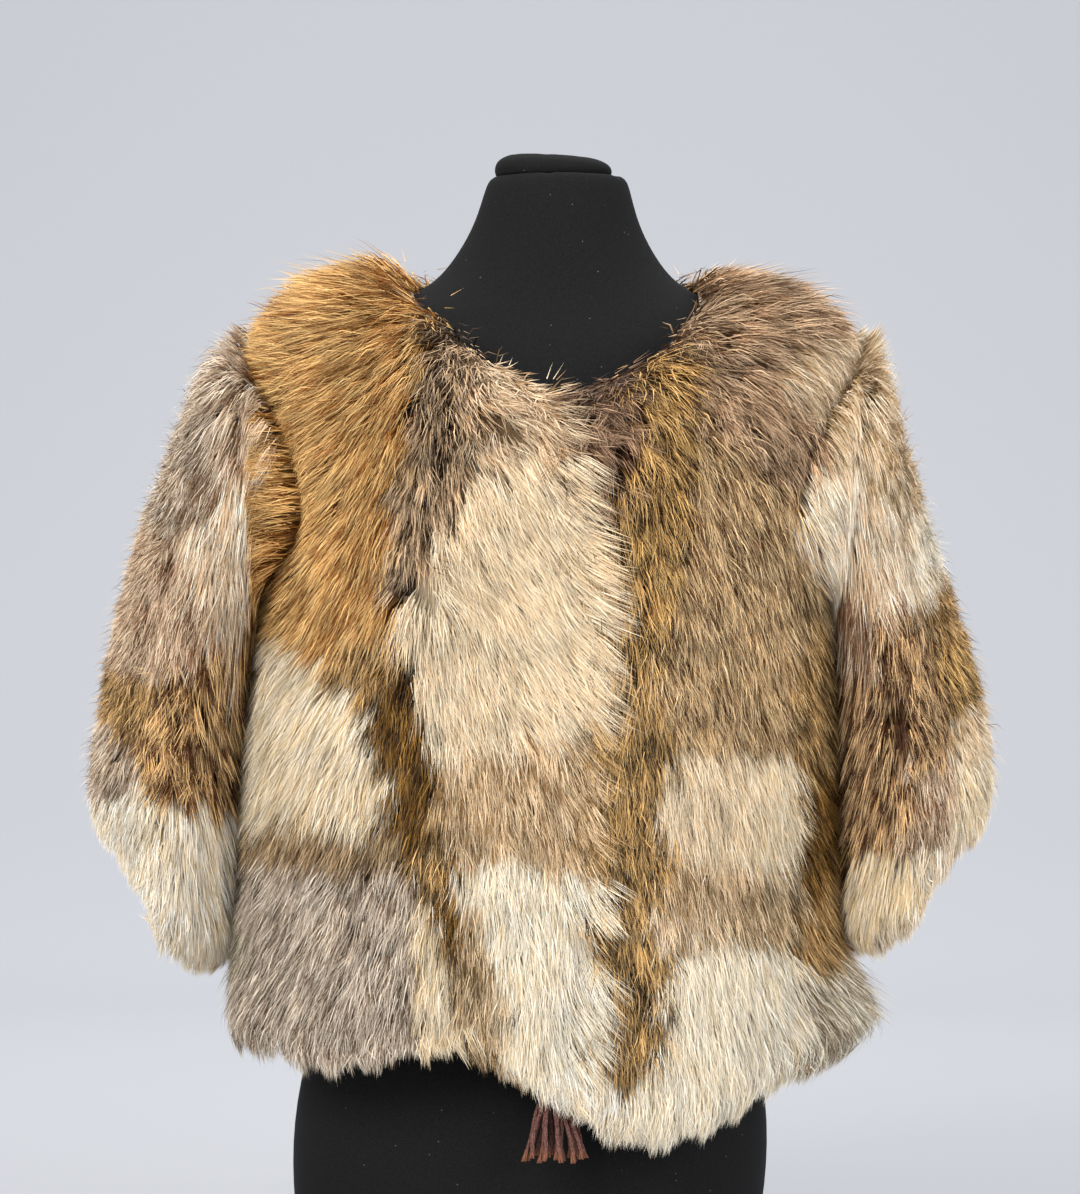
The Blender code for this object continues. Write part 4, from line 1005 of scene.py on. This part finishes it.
def grow(field, index, front, back, counts, sleeve_side, seed):
    """The three kinds of hair of one node, as blades with their shades."""
    dice = np.random.default_rng(seed)
    weight = lock_weights(field, index)
    if sleeve_side:
        weight = seam_overlap(field, weight, SEAM_ROWS)
        turn = np.arange(weight.shape[1]) / weight.shape[1] * 2 * np.pi
        hidden = np.clip(np.cos(turn), 0, 1)
        weight = weight * (1 - UNDERARM_THINNING * hidden[None, :])
    spread = sleeve_side if sleeve_side else 1
    lock_count = int(weight.sum() / LOCK_PITCH**2)
    lock_row, lock_column = scatter(weight, lock_count, dice)
    row_length = np.maximum(sample(field.row_length, lock_row, lock_column), 1e-4)
    visible_row = lock_row + SEEN_BELOW_ROOT / row_length
    seen = leaned(sample(field.hair, visible_row, lock_column))
    lock_coat, lock_lean = find_patches(seen, front, back, dice)
    lock_lean = lock_lean + dice.normal(0, 1, lock_count) * coat_numbers("stray")[lock_coat]
    lock_lean, lock_short = around_partings(seen, lock_lean)
    mottle = coat_numbers("mottle")
    cloudy = np.array([noise.noise(Vector(place) * CLOUDS_PER_METRE) for place in seen])
    lock_shine = dice.normal(0, LOCK_SHINE_SPREAD, lock_count) + CLOUD_SHINE * cloudy
    lock_shine = lock_shine * mottle[lock_coat]
    # Locks near a parting's middle are painted darker: painted shade in the parting.
    lock_shine -= PARTING_SHADE * lock_short
    lock_tone = dice.normal(0, LOCK_TONE_SPREAD, lock_count)
    lock_height = 1 + dice.normal(0, LOCK_HEIGHT_SPREAD, lock_count) * mottle[lock_coat]
    lock_height = lock_height - PARTING_DROP * lock_short
    lengths = coat_numbers("length")
    clumps = coat_numbers("clump")

    near = tree_of(sample(field.hair, lock_row, lock_column))

    made = []
    for kind, count in zip(HAIR_KINDS, counts):
        row, column = scatter(weight, count, dice)
        places = sample(field.hair, row, column)
        lock = np.array([near.find(place)[1] for place in places])
        coat = lock_coat[lock]
        lean = np.radians(lock_lean[lock] + dice.normal(0, HAIR_LEAN_SPREAD, count))
        length = lengths[coat] * dice.uniform(*HAIR_LENGTHS, count)
        neck_rows = row - field.first_row[np.round(column).astype(int) % len(field.first_row)]
        from_neck = neck_rows * sample(field.row_length, row, column)
        if not sleeve_side:
            wild = np.clip(1 - from_neck / NECK_REACH, 0, 1)
            lean = lean + np.radians(dice.normal(0, NECK_LEAN_SPREAD, count)) * wild
            length = length * (1 - NECK_SHORTER * wild)
        lap = np.zeros(count)
        if index < 2 and not sleeve_side:
            beside = sample(field.hair, row, column)
            to_edge = np.abs(beside[:, 0] - meeting_sideways(beside[:, 2]))
            lap = np.clip(1 - to_edge / LAP_REACH, 0, 1) * (beside[:, 1] < 0)
            lap = lap * (1 if index == OVER_FRONT else -1)
            lean = lean + np.radians(LAP_LEAN) * np.maximum(lap, 0)
        down = length * np.cos(lean)
        sideways = length * np.sin(lean) * spread
        rows_down, columns_over = field.step(row, column, down, sideways)
        room = field.last_row[np.round(column + columns_over).astype(int) % len(field.last_row)]
        room = np.maximum(room - row, 0.5)
        rows_down = np.minimum(rows_down, room * dice.uniform(0.84, 1.10, count))
        pull = clumps[coat] * dice.uniform(*HAIR_PULLS, count)
        to_lock_row = lock_row[lock] - row
        to_lock_column = lock_column[lock] - column
        columns_round = field.skin.shape[1]
        to_lock_column = (to_lock_column + columns_round / 2) % columns_round - columns_round / 2
        bend = dice.normal(0, BEND_SPREAD, count)
        row_metres = to_lock_row * sample(field.row_length, row, column)
        column_metres = to_lock_column * sample(field.column_length, row, column)
        lock_edge = np.hypot(row_metres, column_metres) / LOCK_PITCH - LOCK_EDGE
        share = np.clip(lock_height[lock] * dice.normal(kind.tall, kind.scatter_tall, count), 0.5, 1.12)
        share = share * (1 + 0.25 * sample(field.outward_share, row, column)) * (1 + 0.16 * lap)
        share = share + sample(field.towards_gap, row, column)
        share = share + SEAM_LIFT * sample(field.by_seam, row, column)
        loose = dice.random(count) < LOOSE_SHARE
        share = np.where(loose, dice.uniform(*LOOSE_HEIGHTS, count), share)
        moves, to_lock = (rows_down, columns_over), (to_lock_row, to_lock_column)
        path = hair_paths(field, (row, column), moves, to_lock, pull, bend, share, kind.levels)
        roll = np.radians(dice.normal(0, ROLL_SPREAD, count))
        half = dice.uniform(*HALF_WIDTH_MM, count) * 0.001 * kind.width
        half = np.where(loose, LOOSE_HALF_WIDTH, half)
        points = blade_points(path, sample(field.outward, row, column), roll, half, kind.taper)
        dark = dice.random(count) < DARK_SHARE
        tone = dice.normal(*DARK_TONE, count)
        tone = np.where(dark, tone, dice.normal(kind.tone + TONE_LIFT, TONE_SPREAD, count))
        # Hairs near the margin of their lock are made darker: painted shade between the locks.
        tone = np.clip(tone + lock_tone[lock] - EDGE_SHADE * lock_edge, 0, 1)
        tone = np.clip(0.5 + (tone - 0.5) * mottle[coat], 0, 1)
        shine = lock_shine[lock] + dice.normal(0, SHINE_SPREAD, count)
        # Hair of the under front beside the lapping edge is painted darker: a painted shadow under that
        # edge.
        shine = shine + LAP_SHADE * np.minimum(lap, 0)
        shine = np.clip(0.5 + shine / 0.5, 0, 1)
        palette = Palette(coat, nearest_step(tone, TONES), nearest_step(shine, SHINES))
        made.append(Hairs(points, kind.levels, palette))
    return made


def palette_square(palette):
    """The lower corner of a shade's square in the bake map."""
    number = (palette.coat * TONES + palette.tone) * SHINES + palette.shine
    return np.stack([number % PALETTE_SIDE, number // PALETTE_SIDE], -1) / PALETTE_SIDE


def blades(hairs):
    """Points, faces, corner colours and corner map places of some hairs."""
    count, per_hair = hairs.points.shape[:2]
    levels = hairs.levels
    first = np.arange(count)[:, None] * per_hair
    colours = palette_colours(hairs.palette, levels)
    corner = palette_square(hairs.palette)
    quads = len(levels) - 2
    faces = [np.zeros((0, 4), int)]
    shades = [np.zeros((0, 4, 3))]
    places = []
    for ring in range(quads):
        base = 2 * ring
        faces.append(first + np.array([base, base + 1, base + 3, base + 2]))
        lower, upper = levels[ring], levels[ring + 1]
        shades.append(colours[:, [ring, ring, ring + 1, ring + 1]])
        places.append(np.array([[0.15, lower], [0.85, lower], [0.85, upper], [0.15, upper]]))
    base = 2 * quads
    last = first + np.array([base, base + 1, base + 2])
    last_shades = colours[:, [-2, -2, -1]]
    last_place = np.array([[0.15, levels[-2]], [0.85, levels[-2]], [0.5, 1.0]])
    squares = [np.zeros((0, 4, 2))] + [in_square(corner, place) for place in places]
    return (
        hairs.points.reshape(-1, 3),
        np.concatenate(faces), np.concatenate(shades), np.concatenate(squares),
        last, last_shades, in_square(corner, last_place),
    )


def in_square(corner, place):
    inset = np.array([place[:, 0], 0.12 + 0.76 * place[:, 1]]).T
    return corner[:, None, :] + inset[None, :, :] / PALETTE_SIDE


UNDERCOAT_ABOVE_HEM = 0.020
UNDERCOAT_SHARE = 0.34
UNDERCOAT_CELL = 0.008
UNDERCOAT_LEVELS = (0.30, 0.45)


def sheet_grid(field, index, share, above_hem, row_step, column_step):
    """Points and quads of one node's sheet, part of the way from skin to hair, with smooth edges."""
    rows, columns = field.owner.shape
    span = max(1, int(columns / 40))

    def evened(limits):
        wide = np.concatenate([limits[-span:], limits, limits[:span]]).astype(float)
        return np.convolve(wide, np.ones(2 * span + 1) / (2 * span + 1), "valid")

    last = np.clip(field.last_row, 0, rows - 1)
    length = np.maximum(field.row_length[last, np.arange(columns)], 1e-3)
    lowest = evened(last - above_hem / length)
    highest = evened(np.minimum(field.first_row, rows - 1)) + 0.5
    picked = np.arange(0, columns, column_step)
    levels = np.arange(0, rows + row_step, row_step, dtype=float)
    at_row = np.clip(levels[:, None], highest[None, picked], lowest[None, picked])
    at_column = np.broadcast_to(picked[None, :], at_row.shape).astype(float)
    flat_row, flat_column = at_row.ravel(), at_column.ravel()
    skin = sample(field.skin, flat_row, flat_column)
    points = skin + (sample(field.hair, flat_row, flat_column) - skin) * share
    nearest = np.clip(np.round(at_row).astype(int), 0, rows - 1)
    mine = field.near_owner[nearest, picked[None, :]] == index
    number = np.arange(at_row.size).reshape(at_row.shape)
    ahead = np.roll(number, -1, 1)
    apart = at_row[1:] - at_row[:-1] > 0.05
    apart &= np.roll(apart, -1, 1)
    together = mine[:-1] & mine[1:] & np.roll(mine, -1, 1)[:-1] & np.roll(mine, -1, 1)[1:]
    quads = np.stack([number[:-1], number[1:], ahead[1:], ahead[:-1]], -1)[together & apart]
    used, quads = np.unique(quads, return_inverse=True)
    return points[used], quads.reshape(-1, 4)


def undercoat(field, index, front, back, seed):
    """A soft layer part of the way up the hair, so that no pelt shows between the locks. It has the darkest
    brightness of its coat, a painted shade for the depth under the hair.
    """
    dice = np.random.default_rng(seed)
    columns = field.owner.shape[1]
    row_step = max(1, round(UNDERCOAT_CELL / float(np.median(field.row_length))))
    column_step = max(1, round(UNDERCOAT_CELL / float(np.median(field.column_length))))
    while columns % column_step:
        column_step -= 1
    points, quads = sheet_grid(
        field, index, UNDERCOAT_SHARE, UNDERCOAT_ABOVE_HEM, row_step, column_step
    )
    centres = leaned(points[quads].mean(1))
    coat, _ = find_patches(centres, front, back, dice)
    # The undercoat takes the lowest tone and brightness steps: painted shade in the depth between the locks.
    palette = Palette(coat, np.full(len(coat), 1), np.full(len(coat), 0))
    colours = palette_colours(palette, UNDERCOAT_LEVELS)
    shades = colours[:, [0, 0, 1, 1]]
    low, high = UNDERCOAT_LEVELS
    place = np.array([[0.2, low], [0.8, low], [0.8, high], [0.2, high]])
    return points, quads, shades, in_square(palette_square(palette), place)


def fur_object(name, parts, layer, material):
    """One mesh of blades and undercoat, with its colours and its bake map."""
    points = [layer[0]]
    faces, shades, squares = [layer[1]], [layer[2]], [layer[3]]
    ends, end_shades, end_squares = [], [], []
    total = len(layer[0])
    for part in parts:
        own, quads, quad_shades, quad_squares, tips, tip_shades, tip_squares = blades(part)
        points.append(own)
        faces.append(quads + total)
        shades.append(quad_shades)
        squares.append(quad_squares)
        ends.append(tips + total)
        end_shades.append(tip_shades)
        end_squares.append(tip_squares)
        total += len(own)
    points = leaned(np.concatenate(points))
    faces, ends = np.concatenate(faces), np.concatenate(ends)
    mesh = bpy.data.meshes.new(name)
    mesh.vertices.add(len(points))
    mesh.vertices.foreach_set("co", points.astype(np.float32).ravel())
    corners = np.concatenate([faces.ravel(), ends.ravel()])
    mesh.loops.add(len(corners))
    mesh.loops.foreach_set("vertex_index", corners.astype(np.int32))
    starts = np.concatenate([np.arange(len(faces)) * 4, faces.size + np.arange(len(ends)) * 3])
    mesh.polygons.add(len(starts))
    mesh.polygons.foreach_set("loop_start", starts.astype(np.int32))
    mesh.update(calc_edges=True)
    colours = np.concatenate([part.reshape(-1, 3) for part in shades + end_shades])
    rgba = np.concatenate([colours, np.ones((len(colours), 1))], 1).astype(np.float32)
    attribute = mesh.color_attributes.new("hair_colour", "FLOAT_COLOR", "CORNER")
    attribute.data.foreach_set("color", rgba.ravel())
    places = np.concatenate([part.reshape(-1, 2) for part in squares + end_squares])
    bake_map = mesh.uv_layers.new(name="OFBake")
    bake_map.data.foreach_set("uv", places.astype(np.float32).ravel())
    mesh.validate()
    obj = bpy.data.objects.new(name, mesh)
    bpy.context.scene.collection.objects.link(obj)
    obj.data.materials.append(material)
    mesh.shade_smooth()
    return obj


# %% [markdown]
# The hair's colour was worked out with each blade, so its material only reads it. Hair is a little
# glossy along its length, which a middling roughness gives.

# %% Fur material
fur_material, tree, shader = new_material("long_fur")
reading = add_node(tree, "ShaderNodeVertexColor", layer_name="hair_colour")
tree.links.new(reading.outputs["Color"], shader.inputs["Base Color"])
shader.inputs["Roughness"].default_value = 0.58
shader.inputs["Specular IOR Level"].default_value = 0.25

# %% [markdown]
# Five pieces of fur take the place of the five walls.

# %% Fur pieces
body_field = Field(BODY, top_last=True, sleeve=False)
sleeve_fields = {-1: Field(RIGHT_SLEEVE, False, sleeve=True), 1: Field(LEFT_SLEEVE, False, sleeve=True)}
FUR = {}
for name, field, index, side, counts, seed in (
    ("right_front", body_field, 0, 0, (10500, 19000, 60000), 11),
    ("left_front", body_field, 1, 0, (10500, 19000, 60000), 12),
    ("back", body_field, 2, 0, (10500, 19000, 58000), 13),
    ("right_sleeve", sleeve_fields[-1], 0, -1, (10500, 19000, 60000), 14),
    ("left_sleeve", sleeve_fields[1], 0, 1, (10500, 19000, 60000), 15),
):
    front, back = (FRONT_OF_SLEEVES, BACK_OF_SLEEVES) if side else (FRONT_OF_BODY, BACK_OF_BODY)
    parts = grow(field, index, front, back, counts, side, seed)
    layer = undercoat(field, index, front, back, seed)
    fur = fur_object("fur_" + name, parts, layer, fur_material)
    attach(fur, "root")
    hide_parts(name)
    FUR[name] = fur
    triangles = sum(len(face.vertices) - 2 for face in fur.data.polygons)
    print(fur.name, triangles, "triangles")

# %% [markdown]
# Under the hair is the pelt, the leather that carries it. It shows inside the cuffs and the hem. Each pelt
# is a grid on the skin side of its wall that stops a little above the hem, and it gets the
# thickness of leather.

# %% Pelts
LEATHER = 0.0018
PELT_ABOVE_HEM = 0.026
PELT_SHARE = 0.02
PELT_STEP = 2
PeltCut = namedtuple("PeltCut", "width length area")
suede, tree, shader = new_material("pelt_suede")
_, _, tone = mottled(tree, 140.0, 4.0, (0.3, (0.40, 0.30, 0.20)), (0.7, (0.56, 0.45, 0.33)))
tree.links.new(tone.outputs["Color"], shader.inputs["Base Color"])
shader.inputs["Roughness"].default_value = 0.9


def copy_of_node(name, new_name):
    """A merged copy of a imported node, selected and active."""
    copy = NODES[name].copy()
    copy.data = NODES[name].data.copy()
    copy.name = new_name
    bpy.context.scene.collection.objects.link(copy)
    copy.hide_viewport = False
    copy.hide_render = False
    copy.hide_set(False)
    bpy.ops.object.select_all(action="DESELECT")
    copy.select_set(True)
    bpy.context.view_layer.objects.active = copy
    bpy.ops.object.mode_set(mode="EDIT")
    bpy.ops.mesh.select_all(action="SELECT")
    bpy.ops.mesh.remove_doubles(threshold=0.00001)
    bpy.ops.object.mode_set(mode="OBJECT")
    return copy


def pelt_of(name, index, field):
    """The leather of one node: a grid on the wall's skin side, with the thickness outwards."""
    points, quads = sheet_grid(field, index, PELT_SHARE, PELT_ABOVE_HEM, PELT_STEP, PELT_STEP)
    mesh = bpy.data.meshes.new("pelt_" + name)
    mesh.from_pydata(leaned(points).tolist(), [], quads.tolist())
    mesh.update()
    pelt = bpy.data.objects.new("pelt_" + name, mesh)
    bpy.context.scene.collection.objects.link(pelt)
    inward = 0.0
    near = tree_of(field.skin.reshape(-1, 3))
    for face in mesh.polygons:
        _, number, _ = near.find(upright(np.array(face.center)))
        inward -= face.normal.dot(Vector(field.outward.reshape(-1, 3)[number])) * face.area
    bpy.ops.object.select_all(action="DESELECT")
    pelt.select_set(True)
    bpy.context.view_layer.objects.active = pelt
    if inward < 0:
        bpy.ops.object.mode_set(mode="EDIT")
        bpy.ops.mesh.select_all(action="SELECT")
        bpy.ops.mesh.flip_normals()
        bpy.ops.object.mode_set(mode="OBJECT")
    area = sum(face.area for face in mesh.polygons)
    leather = pelt.modifiers.new("leather", "SOLIDIFY")
    leather.thickness = LEATHER
    leather.offset = -1
    bpy.ops.object.modifier_apply(modifier="leather")
    bpy.ops.object.shade_smooth()
    paint(pelt, suede)
    return pelt, area


PELT_FIELDS = {
    "right_front": (0, body_field), "left_front": (1, body_field), "back": (2, body_field),
    "right_sleeve": (0, sleeve_fields[-1]), "left_sleeve": (0, sleeve_fields[1]),
}
for name, fur in FUR.items():
    pelt, area = pelt_of(name, *PELT_FIELDS[name])
    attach(pelt, "root")
    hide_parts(name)

# %% [markdown]
# The form wears a fine black jersey. It is almost flat in colour, with a faint knit and a few pale specks
# of lint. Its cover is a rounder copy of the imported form, so no facet shows.

# %% Jersey
jersey, tree, shader = new_material("black_jersey")
place, knit, tone = mottled(tree, 900.0, 2.0, (0.35, [0.0058] * 3), (0.70, [0.0108] * 3))
specks = add_node(tree, "ShaderNodeTexVoronoi", Scale=95.0)
tree.links.new(place.outputs["Object"], specks.inputs["Vector"])
speck_size = add_node(tree, "ShaderNodeMath", operation="LESS_THAN")
speck_size.inputs[1].default_value = 0.045
tree.links.new(specks.outputs["Distance"], speck_size.inputs[0])
lint = add_node(tree, "ShaderNodeMix", data_type="RGBA")
for socket in lint.inputs:
    if socket.name == "A" and socket.type == "RGBA":
        tree.links.new(tone.outputs["Color"], socket)
    if socket.name == "B" and socket.type == "RGBA":
        socket.default_value = (0.10, 0.10, 0.095, 1)
tree.links.new(speck_size.outputs[0], lint.inputs[0])
colour_out = [s for s in lint.outputs if s.type == "RGBA"][0]
tree.links.new(colour_out, shader.inputs["Base Color"])
shader.inputs["Roughness"].default_value = 0.85
shader.inputs["Specular IOR Level"].default_value = 0.14
bump = add_node(tree, "ShaderNodeBump", Strength=0.15, Distance=0.0004)
tree.links.new(knit.outputs["Fac"], bump.inputs["Height"])
tree.links.new(bump.outputs["Normal"], shader.inputs["Normal"])


def smoother(name, new_name, levels):
    """A rounder copy of a node, with its sharp rims kept."""
    copy = copy_of_node(name, new_name)
    bpy.ops.object.mode_set(mode="EDIT")
    bpy.ops.mesh.tris_convert_to_quads(face_threshold=math.radians(20), shape_threshold=math.radians(40))
    shape = bmesh.from_edit_mesh(copy.data)
    crease = shape.edges.layers.float.new("crease_edge")
    for edge in shape.edges:
        if edge.calc_face_angle(0) > math.radians(50):
            edge[crease] = 0.8
    bmesh.update_edit_mesh(copy.data)
    bpy.ops.object.mode_set(mode="OBJECT")
    rounder = copy.modifiers.new("rounder", "SUBSURF")
    rounder.levels = levels
    bpy.ops.object.modifier_apply(modifier="rounder")
    bpy.ops.object.shade_smooth()
    return copy


for name in ("dress_form", "neck_cap"):
    cover = smoother(name, "jersey_" + name, 2)
    paint(cover, jersey)
    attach(cover, "root")
    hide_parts(name)
    print(cover.name, len(cover.data.polygons), "faces")

# %% [markdown]
# The tassel is dark red-brown wool. Each yarn is three plies that twist round each other, cut off square
# and a little paler at the end. The yarns leave a bound head that is hidden in the fur, and fan out.

# %% Wool tassel
wool, tree, shader = new_material("red_brown_wool")
place, _, tone = mottled(tree, 700.0, 3.0, (0.32, linear("#40231a")), (0.70, linear("#85594d")))
height = add_node(tree, "ShaderNodeSeparateXYZ")
tree.links.new(place.outputs["Object"], height.inputs[0])
tip = add_node(tree, "ShaderNodeMapRange")
tip.inputs["From Min"].default_value = 0.138
tip.inputs["From Max"].default_value = 0.124
tree.links.new(height.outputs["Z"], tip.inputs["Value"])
mix = add_node(tree, "ShaderNodeMixRGB")
tree.links.new(tip.outputs[0], mix.inputs["Fac"])
tree.links.new(tone.outputs["Color"], mix.inputs["Color1"])
mix.inputs["Color2"].default_value = (*linear("#8f5838"), 1)
tree.links.new(mix.outputs[0], shader.inputs["Base Color"])
shader.inputs["Roughness"].default_value = 0.85
paint(NODES["tassel"], wool)

tassel_points, _ = mesh_arrays(NODES["tassel"])
head_points = tassel_points[tassel_points[:, 2] > tassel_points[:, 2].max() - 0.020]
HEAD_MIDDLE = (head_points.min(0) + head_points.max(0)) / 2
HEAD_FOOT = tassel_points[:, 2].max() - 0.022
TASSEL_RINGS = [(3, 0.30), (8, 0.68), (13, 1.0)]
TASSEL_HALF_WIDTH = 0.0185
TASSEL_HALF_DEPTH = 0.0075
START_RADIUS = 0.003
YARN_LENGTH = 0.051
YARN_WAVE = 0.0012
PLIES = 3
PLY_TURN = 13
PLY_RADIUS = 0.00082
PLY_SIDES = 6
YARN_POINTS = 22


def tube(path, radii):
    """Points and faces of a closed tube along a path that runs roughly downward."""
    turn = 2 * np.pi * np.arange(PLY_SIDES) / PLY_SIDES
    ring = np.stack([np.cos(turn), np.sin(turn), np.zeros(PLY_SIDES)], -1)
    points = (path[:, None] + ring[None] * radii[:, None, None]).reshape(-1, 3)
    faces = []
    for row in range(len(path) - 1):
        for side in range(PLY_SIDES):
            after = (side + 1) % PLY_SIDES
            low, high = row * PLY_SIDES, (row + 1) * PLY_SIDES
            faces.append((low + side, low + after, high + after, high + side)[::-1])
    faces.append(tuple(range(PLY_SIDES)))
    faces.append(tuple(range(len(points) - PLY_SIDES, len(points)))[::-1])
    return points, faces


def tassel_yarns():
    """Points and faces of all the yarns, ring by ring."""
    dice = np.random.default_rng(7)
    points, faces = [], []
    share = np.linspace(-0.10, 1, YARN_POINTS)
    spread = np.clip(share, 0, 1)
    spread = 0.5 * spread + 0.5 * spread**0.6 * (1.6 - 0.6 * spread)
    for count, reach in TASSEL_RINGS:
        for number in range(count):
            angle = 2 * np.pi * (number + dice.uniform(0, 0.5)) / count
            across = reach * np.sin(angle) * TASSEL_HALF_WIDTH
            forward = -reach * np.cos(angle) * TASSEL_HALF_DEPTH
            length = YARN_LENGTH * dice.uniform(0.92, 1.02)
            wave = YARN_WAVE * np.sin(share * 7 + dice.uniform(0, 6)) * spread
            middle = np.stack(
                [
                    HEAD_MIDDLE[0] + np.sin(angle) * START_RADIUS + across * spread + wave,
                    HEAD_MIDDLE[1] - np.cos(angle) * START_RADIUS + forward * spread,
                    HEAD_FOOT - length * share,
                ],
                -1,
            )
            start = dice.uniform(0, 6)
            for ply in range(PLIES):
                twist = start + ply * 2 * np.pi / PLIES + share * PLY_TURN
                around = np.stack([np.cos(twist), np.sin(twist), np.zeros(YARN_POINTS)], -1)
                open_end = 1 + 0.5 * np.clip((share - 0.9) / 0.1, 0, 1)
                path = middle + around * PLY_RADIUS * 0.95 * open_end[:, None]
                own, own_faces = tube(path, PLY_RADIUS * np.ones(YARN_POINTS))
                faces += [tuple(v + sum(len(p) for p in points) for v in face) for face in own_faces]
                points.append(own)
    return np.concatenate(points), faces


yarn_points, yarn_faces = tassel_yarns()
yarn_mesh = bpy.data.meshes.new("tassel_yarns")
yarn_mesh.from_pydata(yarn_points.tolist(), [], yarn_faces)
yarn_mesh.shade_smooth()
tassel_wool = bpy.data.objects.new("tassel_yarns", yarn_mesh)
bpy.context.scene.collection.objects.link(tassel_wool)
tassel_head = copy_of_node("tassel", "tassel_head")
shape = bmesh.new()
shape.from_mesh(tassel_head.data)
below = [face for face in shape.faces if face.calc_center_median().z < HEAD_FOOT]
bmesh.ops.delete(shape, geom=below, context="FACES")
shape.to_mesh(tassel_head.data)
shape.free()
for piece in (tassel_wool, tassel_head):
    paint(piece, wool)
bpy.ops.object.select_all(action="DESELECT")
tassel_head.select_set(True)
tassel_wool.select_set(True)
bpy.context.view_layer.objects.active = tassel_wool
bpy.ops.object.join()
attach(tassel_wool, "root")
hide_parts("tassel")
print("tassel", sum(count for count, _ in TASSEL_RINGS), "yarns")
